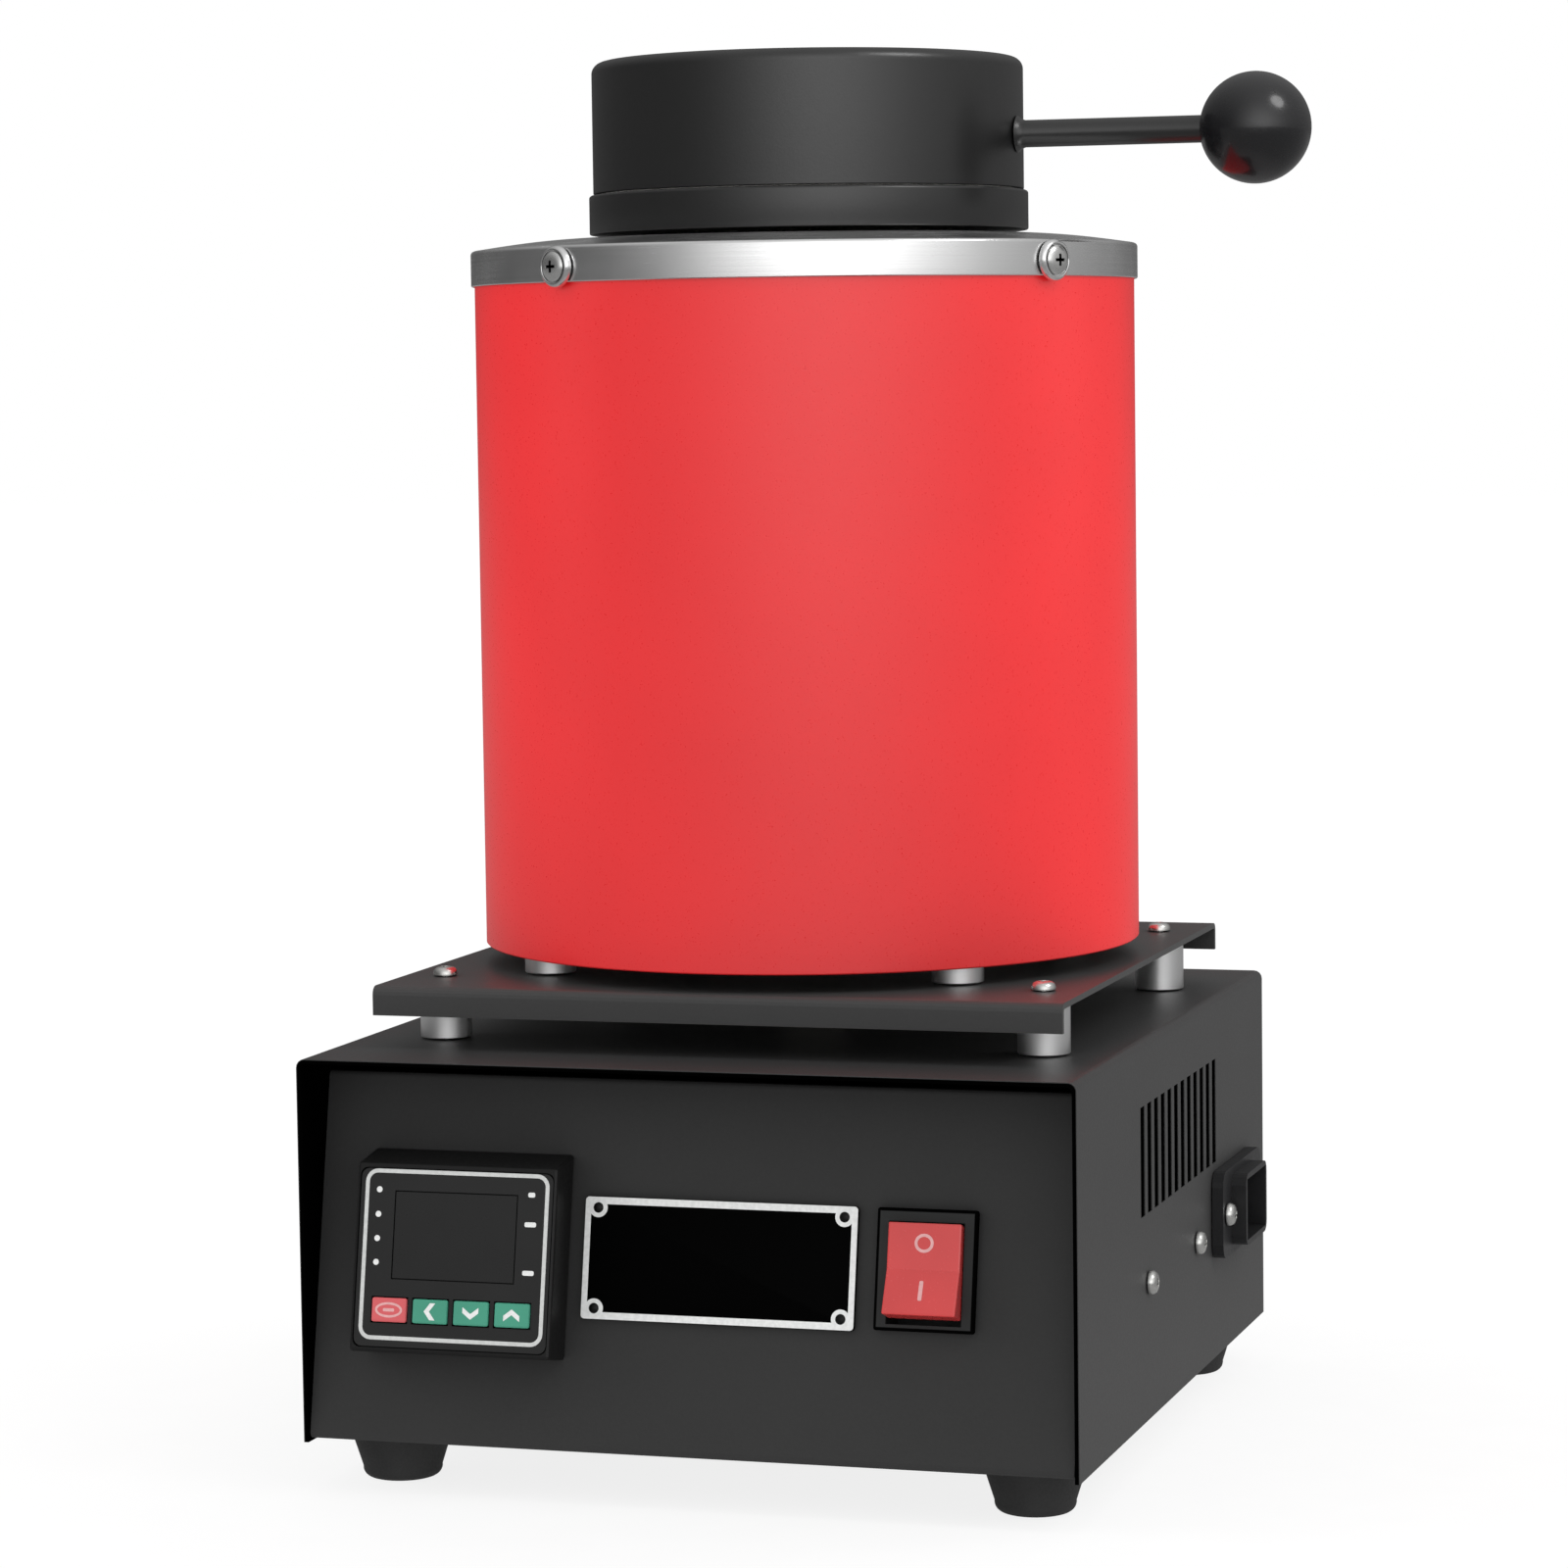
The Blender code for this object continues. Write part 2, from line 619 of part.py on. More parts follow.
def make_cover():
    half = BOX_WIDTH / 2
    corners = [(-half, BOX_BOTTOM), (-half, BOX_TOP), (half, BOX_TOP), (half, BOX_BOTTOM)]
    path = bent_path(corners, COVER_BEND)
    mesh = sheet_mesh("cover", path, BOX_DEPTH / 2, lambda x, y, z: (x, y, z))
    cover = add_object("cover", mesh, FURNACE, BLACK_PAINT)
    thicken(cover, COVER_SHEET, -1)
    slots = []
    for i in range(SLOT_COUNT):
        y = wall_y(SLOT_LAST_FROM_BACK + i * SLOT_PITCH)
        slots.append(((half, y, BOX_BOTTOM + SLOT_CENTRE_HEIGHT), (CUT_PAST * 2, SLOT_WIDTH, SLOT_HEIGHT)))
    cut(cover, "cover_slots", box_mesh("cover_slots", slots))
    room = 2 * SCREW_HOLE_CLEARANCE
    inlet = [
        (
            (half, wall_y(INLET_FROM_BACK), BOX_BOTTOM + INLET_HEIGHT),
            (CUT_PAST * 2, INLET_BODY_LENGTH + room, INLET_BODY_TALL + room),
        )
    ]
    cut(cover, "cover_inlet_window", box_mesh("cover_inlet_window", inlet))
    hole = SCREW_SHANK_RADIUS + SCREW_HOLE_CLEARANCE
    bores = []
    for y, height in wall_screw_places():
        bores.append(((half - CUT_PAST, y, height), (half + CUT_PAST, y, height), hole))
    for side_x, side_y in CORNER_SIGNS.values():
        x = STACK_OFFSET_X + side_x * LOWER_STANDOFF_X
        y = side_y * LOWER_STANDOFF_Y
        bores.append(((x, y, BOX_TOP - CUT_PAST), (x, y, BOX_TOP + CUT_PAST), hole))
    cut(cover, "cover_screw_holes", bore_mesh("cover_screw_holes", bores, PIN_STEPS))
    lead = LEAD_SLEEVE_RADIUS + LEAD_HOLE_CLEARANCE
    lead_ends = [(STACK_OFFSET_X, 0, BOX_TOP + side * CUT_PAST) for side in (-1, 1)]
    lead_bore = [(*lead_ends, lead)]
    cut(cover, "cover_lead_hole", bore_mesh("cover_lead_hole", lead_bore, SMALL_STEPS))


def wall_screw_places():
    """The relay's and the inlet's screws on the right wall, as (y, z)."""
    relay_height = BOX_BOTTOM + RELAY_SCREW_HEIGHT
    inlet_height = BOX_BOTTOM + INLET_HEIGHT
    return [
        (wall_y(RELAY_FIRST_SCREW_FROM_BACK), relay_height),
        (wall_y(RELAY_SECOND_SCREW_FROM_BACK), relay_height),
        (wall_y(INLET_FROM_BACK + INLET_SCREW_SPREAD), inlet_height),
        (wall_y(INLET_FROM_BACK - INLET_SCREW_SPREAD), inlet_height),
    ]


def make_panel_frame():
    """An empty whose XZ plane is the outer face of the leaning front panel."""
    frame = bpy.data.objects.new("panel_frame", None)
    FURNACE.objects.link(frame)
    frame.location = (0, PANEL_FOOT_Y, CHASSIS_BOTTOM)
    frame.rotation_euler = (-PANEL_LEAN, 0, 0)
    return frame


def make_chassis(frame):
    half = BOX_WIDTH / 2 - COVER_SHEET - TOUCH_GAP
    top = BOX_BOTTOM + PANEL_TOP_HEIGHT
    back = BOX_DEPTH / 2 - BACK_SETBACK
    path = bent_path(
        [
            (PANEL_TOP_Y + CHASSIS_LIP, top),
            (PANEL_TOP_Y, top),
            (PANEL_FOOT_Y, CHASSIS_BOTTOM),
            (back, CHASSIS_BOTTOM),
            (back, top),
            (back - CHASSIS_LIP, top),
        ],
        CHASSIS_BEND,
    )
    mesh = sheet_mesh("chassis", path, half, lambda y, x, z: (x, y, z))
    chassis = add_object("chassis", mesh, FURNACE, BLACK_PAINT)
    thicken(chassis, CHASSIS_SHEET, -1)
    room = 2 * SCREW_HOLE_CLEARANCE
    windows = [
        (
            (CONTROLLER_X, 0, CONTROLLER_HEIGHT),
            (CONTROLLER_BODY_SIDE + room, CUT_PAST * 2, CONTROLLER_BODY_SIDE + room),
        ),
        (
            (SWITCH_X, 0, SWITCH_HEIGHT),
            (SWITCH_BODY_WIDTH + room, CUT_PAST * 2, SWITCH_BODY_TALL + room),
        ),
    ]
    cut(chassis, "panel_windows", box_mesh("panel_windows", windows), parent=frame)


def make_feet():
    top = CHASSIS_BOTTOM - TOUCH_GAP
    points = [(0, top), (FOOT_TOP_RADIUS, top)]
    points += arc((FOOT_BOTTOM_RADIUS - FOOT_EDGE, FOOT_EDGE), FOOT_EDGE, 0, -90, INNER_BEND_STEPS)
    points.append((0, 0))
    for corner, (side_x, side_y) in CORNER_SIGNS.items():
        x = side_x * (BOX_WIDTH / 2 - FOOT_INSET_X)
        y = side_y * (BOX_DEPTH / 2 - FOOT_INSET_Y)
        turned("foot_" + corner, points, SMALL_STEPS, FURNACE, RUBBER, location=(x, y, 0))


def make_controller(frame):
    place = (CONTROLLER_X, 0, CONTROLLER_HEIGHT)
    front = -TOUCH_GAP - BEZEL_DEPTH
    bezel = box_mesh(
        "controller_housing",
        [((0, (front - TOUCH_GAP) / 2, 0), (BEZEL_WIDTH, BEZEL_DEPTH, BEZEL_TALL))],
    )
    for point in bezel.vertices:
        if point.co.z > 0 and point.co.y > front / 2:
            point.co.z += BEZEL_TOP_DRAFT
    housing = add_object(
        "controller_housing", bezel, FURNACE, DARK_PLASTIC, parent=frame, location=place
    )
    bevel(housing, BEZEL_EDGE)
    body_start = -TOUCH_GAP - JOIN_DEPTH
    body = [
        (
            (0, body_start + CONTROLLER_BODY_LENGTH / 2, 0),
            (CONTROLLER_BODY_SIDE, CONTROLLER_BODY_LENGTH, CONTROLLER_BODY_SIDE),
        )
    ]
    join(housing, "controller_body", box_mesh("controller_body", body), parent=frame, location=place)
    sheet_front = front + FACE_SINK
    pocket_floor = sheet_front + FACE_SHEET + TOUCH_GAP
    pocket = rounded_slab_mesh(
        "face_pocket",
        FACE_WIDTH + 2 * TOUCH_GAP,
        FACE_TALL + 2 * TOUCH_GAP,
        pocket_floor - front + CUT_PAST,
        FACE_CORNER,
    )
    cut(
        housing,
        "face_pocket",
        pocket,
        parent=frame,
        location=(CONTROLLER_X, front - CUT_PAST, CONTROLLER_HEIGHT),
    )
    key_back = sheet_front - KEY_PROUD + KEY_LENGTH
    well_floor = key_back + KEY_TRAVEL + TOUCH_GAP
    well = [
        (
            (0, (front + well_floor) / 2, -KEY_DROP),
            (KEY_PITCH * len(KEY_NAMES), well_floor - front, KEY_TALL + 2 * TOUCH_GAP),
        )
    ]
    cut(housing, "key_well", box_mesh("key_well", well), parent=frame, location=place)

    face = add_object(
        "controller_face",
        rounded_slab_mesh("controller_face", FACE_WIDTH, FACE_TALL, FACE_SHEET, FACE_CORNER),
        FURNACE,
        FACE_PLASTIC,
        parent=frame,
        location=(CONTROLLER_X, sheet_front, CONTROLLER_HEIGHT),
    )
    holes = [((0, 0, WINDOW_RISE), (WINDOW_WIDTH, CUT_PAST * 2, WINDOW_TALL))]
    for i in range(len(KEY_NAMES)):
        size = (KEY_WIDTH + 2 * TOUCH_GAP, CUT_PAST * 2, KEY_TALL + 2 * TOUCH_GAP)
        holes.append(((key_x(i), 0, -KEY_DROP), size))
    cut(
        face,
        "face_holes",
        box_mesh("face_holes", holes),
        parent=frame,
        location=(CONTROLLER_X, sheet_front, CONTROLLER_HEIGHT),
    )
    window_size = (
        WINDOW_WIDTH - 2 * TOUCH_GAP,
        FACE_SHEET - WINDOW_SINK,
        WINDOW_TALL - 2 * TOUCH_GAP,
    )
    window_centre = (0, sheet_front + (WINDOW_SINK + FACE_SHEET) / 2, WINDOW_RISE)
    add_object(
        "display_window",
        box_mesh("display_window", [(window_centre, window_size)]),
        FURNACE,
        WINDOW_PLASTIC,
        parent=frame,
        location=place,
    )
    for i, name in enumerate(KEY_NAMES):
        centre = (0, (sheet_front - KEY_PROUD + key_back) / 2, 0)
        key = add_object(
            name,
            box_mesh(name, [(centre, (KEY_WIDTH, KEY_LENGTH, KEY_TALL))]),
            FURNACE,
            KEY_GREEN if i else KEY_RED,
            parent=frame,
            location=(CONTROLLER_X + key_x(i), 0, CONTROLLER_HEIGHT - KEY_DROP),
        )
        bevel(key, KEY_EDGE)


def key_x(index):
    return (index - (len(KEY_NAMES) - 1) / 2) * KEY_PITCH


def make_nameplate(frame):
    place = (PLATE_X, -TOUCH_GAP - PLATE_SHEET, PLATE_HEIGHT)
    mesh = rounded_slab_mesh("nameplate", PLATE_WIDTH, PLATE_TALL, PLATE_SHEET, PLATE_CORNER)
    plate = add_object("nameplate", mesh, FURNACE, PLATE_BLACK, parent=frame, location=place)
    bores = []
    for side_x, side_z in CORNER_SIGNS.values():
        x = side_x * (PLATE_WIDTH / 2 - PLATE_HOLE_INSET_X)
        z = side_z * (PLATE_TALL / 2 - PLATE_HOLE_INSET_Z)
        bores.append(((x, -CUT_PAST, z), (x, CUT_PAST, z), PLATE_HOLE_RADIUS))
    cut(plate, "plate_holes", bore_mesh("plate_holes", bores, PIN_STEPS), parent=frame, location=place)


def make_switch(frame):
    place = (SWITCH_X, 0, SWITCH_HEIGHT)
    front = -TOUCH_GAP - SWITCH_FLANGE
    body = add_object(
        "switch_body",
        box_mesh(
            "switch_body",
            [((0, (front - TOUCH_GAP) / 2, 0), (SWITCH_WIDTH, SWITCH_FLANGE, SWITCH_TALL))],
        ),
        FURNACE,
        DARK_PLASTIC,
        parent=frame,
        location=place,
    )
    bevel(body, SWITCH_FLANGE_EDGE)
    start = -TOUCH_GAP - JOIN_DEPTH
    rear = [
        (
            (0, start + SWITCH_BODY_LENGTH / 2, 0),
            (SWITCH_BODY_WIDTH, SWITCH_BODY_LENGTH, SWITCH_BODY_TALL),
        )
    ]
    join(body, "switch_rear", box_mesh("switch_rear", rear), parent=frame, location=place)
    well = [
        (
            (0, front - CUT_PAST + (SWITCH_WELL_DEPTH + CUT_PAST) / 2, -ROCKER_DROP),
            (SWITCH_WELL_WIDTH, SWITCH_WELL_DEPTH + CUT_PAST, SWITCH_WELL_TALL),
        )
    ]
    cut(body, "switch_well", box_mesh("switch_well", well), parent=frame, location=place)
    rocker_half = SWITCH_WELL_WIDTH / 2 - ROCKER_SIDE_GAP
    pin_end = rocker_half + ROCKER_PIN_LENGTH
    socket_end = pin_end + ROCKER_PIN_CLEARANCE
    sockets = [
        (
            (-socket_end, ROCKER_AXIS_DEPTH, -ROCKER_DROP),
            (socket_end, ROCKER_AXIS_DEPTH, -ROCKER_DROP),
            ROCKER_PIN_RADIUS + ROCKER_PIN_CLEARANCE,
        )
    ]
    cut(body, "pin_sockets", bore_mesh("pin_sockets", sockets, SMALL_STEPS), parent=frame, location=place)

    outline = [
        (-ROCKER_END_OUT, -ROCKER_HALF_LENGTH),
        (-ROCKER_MIDDLE_OUT, 0),
        (-ROCKER_END_OUT, ROCKER_HALF_LENGTH),
        (-ROCKER_END_BACK, ROCKER_HALF_LENGTH),
        (ROCKER_KEEL_DEPTH, ROCKER_KEEL_HALF),
        (ROCKER_KEEL_DEPTH, -ROCKER_KEEL_HALF),
        (-ROCKER_END_BACK, -ROCKER_HALF_LENGTH),
    ]
    rocker = add_object(
        "switch_rocker",
        prism_mesh("switch_rocker", outline, -rocker_half, rocker_half),
        FURNACE,
        ROCKER_RED,
        parent=frame,
        location=(SWITCH_X, ROCKER_AXIS_DEPTH, SWITCH_HEIGHT - ROCKER_DROP),
        rotation=(-radians(ROCKER_TILT), 0, 0),
    )
    bevel(rocker, ROCKER_EDGE)
    pins = [((-pin_end, 0, 0), (pin_end, 0, 0), ROCKER_PIN_RADIUS)]
    join(
        rocker,
        "rocker_pins",
        bore_mesh("rocker_pins", pins, SMALL_STEPS),
        parent=frame,
        location=rocker.location,
        rotation=rocker.rotation_euler,
    )


def make_inlet():
    place = (BOX_WIDTH / 2 + TOUCH_GAP, wall_y(INLET_FROM_BACK), BOX_BOTTOM + INLET_HEIGHT)
    facing = (0, 0, pi / 2)
    front = -INLET_FLANGE_THICK
    flange = rounded_slab_mesh(
        "inlet_socket",
        INLET_FLANGE_LENGTH,
        INLET_FLANGE_TALL,
        INLET_FLANGE_THICK,
        INLET_FLANGE_CORNER,
    )
    flange.transform(Matrix.Translation((0, front, 0)))
    inlet = add_object(
        "inlet_socket", flange, FURNACE, DARK_PLASTIC, location=place, rotation=facing
    )
    hood = rounded_slab_mesh(
        "inlet_hood",
        INLET_BODY_LENGTH,
        INLET_BODY_TALL,
        INLET_HOOD_OUT + JOIN_DEPTH,
        INLET_HOOD_CORNER,
    )
    front -= INLET_HOOD_OUT
    hood.transform(Matrix.Translation((0, front, 0)))
    join(inlet, "inlet_hood", hood, location=place, rotation=facing)
    body = [
        (
            (0, (INLET_BODY_DEPTH - JOIN_DEPTH) / 2, 0),
            (INLET_BODY_LENGTH, INLET_BODY_DEPTH + JOIN_DEPTH, INLET_BODY_TALL),
        )
    ]
    join(inlet, "inlet_body", box_mesh("inlet_body", body), location=place, rotation=facing)
    mouth_floor = front + INLET_MOUTH_DEPTH
    mouth = [
        (
            (0, (front - CUT_PAST + mouth_floor) / 2, 0),
            (INLET_MOUTH_LENGTH, mouth_floor - front + CUT_PAST, INLET_MOUTH_TALL),
        )
    ]
    cut(inlet, "inlet_mouth", box_mesh("inlet_mouth", mouth), location=place, rotation=facing)
    pin_centre = mouth_floor + JOIN_DEPTH - INLET_PIN_LENGTH / 2
    pin = (INLET_PIN_WIDTH, INLET_PIN_LENGTH, INLET_PIN_TALL)
    pins = [
        ((-INLET_PIN_SPREAD, pin_centre, -INLET_PIN_OFFSET), pin),
        ((INLET_PIN_SPREAD, pin_centre, -INLET_PIN_OFFSET), pin),
        ((0, pin_centre, INLET_PIN_OFFSET), pin),
    ]
    join(inlet, "inlet_pins", box_mesh("inlet_pins", pins), location=place, rotation=facing)
    hole = SCREW_SHANK_RADIUS + SCREW_HOLE_CLEARANCE
    bores = []
    for side in (-1, 1):
        x = side * INLET_SCREW_SPREAD
        bores.append(((x, front - CUT_PAST, 0), (x, CUT_PAST, 0), hole))
    cut(
        inlet,
        "inlet_screw_holes",
        bore_mesh("inlet_screw_holes", bores, PIN_STEPS),
        location=place,
        rotation=facing,
    )


def screw_profile(head_radius, head_height, shank_length):
    """A screw that points down from the seat of its rounded head at height 0."""
    shoulder = head_height / 2
    return [
        (0, head_height),
        (head_radius - shoulder, head_height),
        (head_radius, shoulder),
        (head_radius, 0),
        (SCREW_SHANK_RADIUS, 0),
        (SCREW_SHANK_RADIUS, -shank_length),
        (0, -shank_length),
    ]


def recess_mesh(name, head_height, length):
    """A cross-shaped cutter for the top of a screw head."""
    centre = (0, 0, head_height - RECESS_DEPTH + CUT_PAST / 2)
    bars = mesh_from(name, lambda shape: cross_prism(shape, centre, length))
    return bars


def cross_prism(shape, centre, length):
    half = length / 2
    thin = RECESS_WIDTH / 2
    outline = [
        (half, -thin),
        (half, thin),
        (thin, thin),
        (thin, half),
        (-thin, half),
        (-thin, thin),
        (-half, thin),
        (-half, -thin),
        (-thin, -thin),
        (-thin, -half),
        (thin, -half),
        (thin, -thin),
    ]
    low = centre[2] - CUT_PAST / 2
    ring = [shape.verts.new((x, y, low)) for x, y in outline]
    face = shape.faces.new(ring)
    grown = bmesh.ops.extrude_face_region(shape, geom=[face])
    moved = [v for v in grown["geom"] if isinstance(v, bmesh.types.BMVert)]
    bmesh.ops.translate(shape, verts=moved, vec=(0, 0, CUT_PAST))


def make_screw(name, head_radius, head_height, shank_length, recess_length, location, rotation):
    points = screw_profile(head_radius, head_height, shank_length)
    screw = turned(name, points, SCREW_STEPS, FURNACE, ZINC, location=location, rotation=rotation)
    cut(
        screw,
        name + "_recess",
        recess_mesh(name + "_recess", head_height, recess_length),
        location=location,
        rotation=rotation,
    )


def make_wall_screws():
    names = ("relay_screw_front", "relay_screw_back", "inlet_screw_front", "inlet_screw_back")
    for name, (y, z) in zip(names, wall_screw_places()):
        seat = BOX_WIDTH / 2 + TOUCH_GAP
        length = RELAY_SCREW_LENGTH
        if name.startswith("inlet"):
            seat += INLET_FLANGE_THICK + TOUCH_GAP
            length += INLET_FLANGE_THICK
        make_screw(
            name,
            PAN_HEAD_RADIUS,
            PAN_HEAD_HEIGHT,
            length,
            RECESS_LENGTH,
            (seat, y, z),
            (0, pi / 2, 0),
        )


def make_relay():
    wall = BOX_WIDTH / 2 - COVER_SHEET - TOUCH_GAP
    middle = (RELAY_FIRST_SCREW_FROM_BACK + RELAY_SECOND_SCREW_FROM_BACK) / 2
    height = BOX_BOTTOM + RELAY_SCREW_HEIGHT
    relay = add_object(
        "solid_state_relay",
        box_mesh(
            "solid_state_relay",
            [
                (
                    (wall - RELAY_BASE_THICK / 2, wall_y(middle), height),
                    (RELAY_BASE_THICK, RELAY_BASE_LENGTH, RELAY_BASE_TALL),
                )
            ],
        ),
        FURNACE,
        RELAY_PLASTIC,
    )
    case_start = wall - RELAY_BASE_THICK + JOIN_DEPTH
    case = [
        (
            (case_start - RELAY_CASE_THICK / 2, wall_y(middle), height),
            (RELAY_CASE_THICK, RELAY_CASE_LENGTH, RELAY_BASE_TALL - 2 * JOIN_DEPTH),
        )
    ]
    join(relay, "relay_case", box_mesh("relay_case", case))
    hole = SCREW_SHANK_RADIUS + SCREW_HOLE_CLEARANCE
    bores = []
    for y, z in wall_screw_places()[:2]:
        bores.append(((wall - RELAY_BASE_THICK - CUT_PAST, y, z), (wall + CUT_PAST, y, z), hole))
    cut(relay, "relay_holes", bore_mesh("relay_holes", bores, PIN_STEPS))


def make_terminal_block():
    bottom = CHASSIS_BOTTOM + CHASSIS_SHEET + TOUCH_GAP
    centre = (TERMINAL_X, TERMINAL_Y, bottom + TERMINAL_HEIGHT / 2)
    block = add_object(
        "terminal_block",
        box_mesh("terminal_block", [(centre, (TERMINAL_LENGTH, TERMINAL_DEPTH, TERMINAL_HEIGHT))]),
        FURNACE,
        CERAMIC,
    )
    slots = []
    for i in range(TERMINAL_SLOTS):
        x = TERMINAL_X + (i - (TERMINAL_SLOTS - 1) / 2) * TERMINAL_SLOT_PITCH
        size = (TERMINAL_SLOT_WIDTH, TERMINAL_DEPTH + CUT_PAST, TERMINAL_SLOT_DEPTH * 2)
        slots.append(((x, TERMINAL_Y, bottom + TERMINAL_HEIGHT), size))
    cut(block, "terminal_slots", box_mesh("terminal_slots", slots))


def make_tray():
    half = TRAY_DEPTH / 2
    low = TRAY_TOP - TRAY_FLANGE
    path = bent_path([(-half, low), (-half, TRAY_TOP), (half, TRAY_TOP), (half, low)], TRAY_BEND)
    mesh = sheet_mesh("tray", path, TRAY_WIDTH / 2, lambda y, x, z: (x, y, z))
    tray = add_object("tray", mesh, FURNACE, TRAY_PAINT)
    thicken(tray, TRAY_SHEET, -1)
    hole = SCREW_SHANK_RADIUS + SCREW_HOLE_CLEARANCE
    low_cut = TRAY_TOP - TRAY_SHEET - CUT_PAST
    bores = []
    for side_x, side_y in CORNER_SIGNS.values():
        x = side_x * LOWER_STANDOFF_X
        y = side_y * LOWER_STANDOFF_Y
        bores.append(((x, y, low_cut), (x, y, TRAY_TOP + CUT_PAST), hole))
    cut(tray, "tray_screw_holes", bore_mesh("tray_screw_holes", bores, PIN_STEPS))
    lead = LEAD_SLEEVE_RADIUS + LEAD_HOLE_CLEARANCE
    lead_bore = [((0, 0, low_cut), (0, 0, TRAY_TOP + CUT_PAST), lead)]
    cut(tray, "tray_lead_hole", bore_mesh("tray_lead_hole", lead_bore, SMALL_STEPS))


def make_standoffs():
    lower = ring_profile(
        STANDOFF_RADIUS,
        STANDOFF_BORE,
        BOX_TOP + TOUCH_GAP,
        TRAY_TOP - TRAY_SHEET - TOUCH_GAP,
    )
    upper = ring_profile(
        STANDOFF_RADIUS,
        STANDOFF_BORE,
        TRAY_TOP + TOUCH_GAP,
        FLOOR_BOTTOM - TOUCH_GAP,
    )
    shank = TRAY_TOP + TOUCH_GAP - BOX_TOP + TRAY_SCREW_PAST
    for corner, (side_x, side_y) in CORNER_SIGNS.items():
        low_place = (side_x * LOWER_STANDOFF_X, side_y * LOWER_STANDOFF_Y, 0)
        high_place = (side_x * UPPER_STANDOFF_SIDE, side_y * UPPER_STANDOFF_SIDE, 0)
        turned(
            "lower_standoff_" + corner,
            lower,
            SMALL_STEPS,
            FURNACE,
            ALUMINIUM,
            closed=True,
            location=low_place,
        )
        turned(
            "upper_standoff_" + corner,
            upper,
            SMALL_STEPS,
            FURNACE,
            ALUMINIUM,
            closed=True,
            location=high_place,
        )
        make_screw(
            "tray_screw_" + corner,
            PAN_HEAD_RADIUS,
            PAN_HEAD_HEIGHT,
            shank,
            RECESS_LENGTH,
            (low_place[0], low_place[1], TRAY_TOP + TOUCH_GAP),
            (0, 0, 0),
        )


def make_barrel():
    shell = turned(
        "barrel_shell",
        ring_profile(BARREL_RADIUS, BARREL_RADIUS - BARREL_SHEET, BARREL_BOTTOM, BARREL_TOP),
        BIG_STEPS,
        FURNACE,
        RED_PAINT,
        closed=True,
    )
    cut(shell, "shell_screw_holes", cap_hole_mesh("shell_screw_holes"))
    lead = LEAD_SLEEVE_RADIUS + LEAD_HOLE_CLEARANCE
    floor_radius = BARREL_RADIUS - BARREL_SHEET - TOUCH_GAP
    turned(
        "barrel_floor",
        ring_profile(floor_radius, lead, FLOOR_BOTTOM, FLOOR_TOP),
        HIDDEN_STEPS,
        FURNACE,
        ZINC,
        closed=True,
    )


def cap_hole_mesh(name):
    """Four radial holes through the cap's rim and the barrel wall."""
    hole = SCREW_SHANK_RADIUS + SCREW_HOLE_CLEARANCE
    level = CAP_SHOULDER - CAP_SCREW_DROP
    bores = []
    for i in range(CAP_SCREW_COUNT):
        angle = cap_screw_angle(i)
        near = BARREL_RADIUS - BARREL_SHEET - CUT_PAST
        far = CAP_RADIUS + CUT_PAST
        start = (near * cos(angle), near * sin(angle), level)
        end = (far * cos(angle), far * sin(angle), level)
        bores.append((start, end, hole))
    return bore_mesh(name, bores, PIN_STEPS)


def cap_screw_angle(index):
    return radians(CAP_SCREW_FIRST_ANGLE + 360 * index / CAP_SCREW_COUNT)


def make_insulation():
    pass_bore = THERMOCOUPLE_RADIUS + TOUCH_GAP
    floor_top = INSULATION_BOTTOM + INSULATION_FLOOR_THICK
    turned(
        "insulation_floor",
        ring_profile(INSULATION_RADIUS, pass_bore, INSULATION_BOTTOM, floor_top),
        HIDDEN_STEPS,
        FURNACE,
        FIBRE,
        closed=True,
    )
    top = SLEEVE_TOP
    lip_bottom = top - SLEEVE_LIP_HEIGHT
    points = [
        (INSULATION_RADIUS, top),
        (INSULATION_RADIUS, floor_top + TOUCH_GAP),
        (SLEEVE_BORE, floor_top + TOUCH_GAP),
        (SLEEVE_BORE, lip_bottom),
        (MOUTH_RADIUS, lip_bottom),
        (MOUTH_RADIUS, top),
    ]
    sleeve = turned(
        "insulation_sleeve", points, HIDDEN_STEPS, FURNACE, FIBRE, closed=True
    )
    hole = PIVOT_HEAD_RADIUS + PIVOT_POCKET_CLEARANCE
    bolt_end = PIVOT_END - PIVOT_POCKET_CLEARANCE
    bore = [((LID_OFFSET_X, PIVOT_OFFSET, bolt_end), (LID_OFFSET_X, PIVOT_OFFSET, top + CUT_PAST), hole)]
    cut(sleeve, "sleeve_bolt_hole", bore_mesh("sleeve_bolt_hole", bore, PIN_STEPS))


def make_muffle():
    floor_top = MUFFLE_BOTTOM + MUFFLE_FLOOR
    socket = THERMOCOUPLE_RADIUS + TOUCH_GAP
    socket_top = MUFFLE_BOTTOM + THERMOCOUPLE_INTO_MUFFLE + TOUCH_GAP
    points = [
        (0, floor_top),
        (MOUTH_RADIUS, floor_top),
        (MOUTH_RADIUS, MUFFLE_TOP),
        (MUFFLE_RADIUS, MUFFLE_TOP),
        (MUFFLE_RADIUS, MUFFLE_BOTTOM),
        (socket, MUFFLE_BOTTOM),
        (socket, socket_top),
        (0, socket_top),
    ]
    turned("muffle", points, HIDDEN_STEPS, FURNACE, CERAMIC)


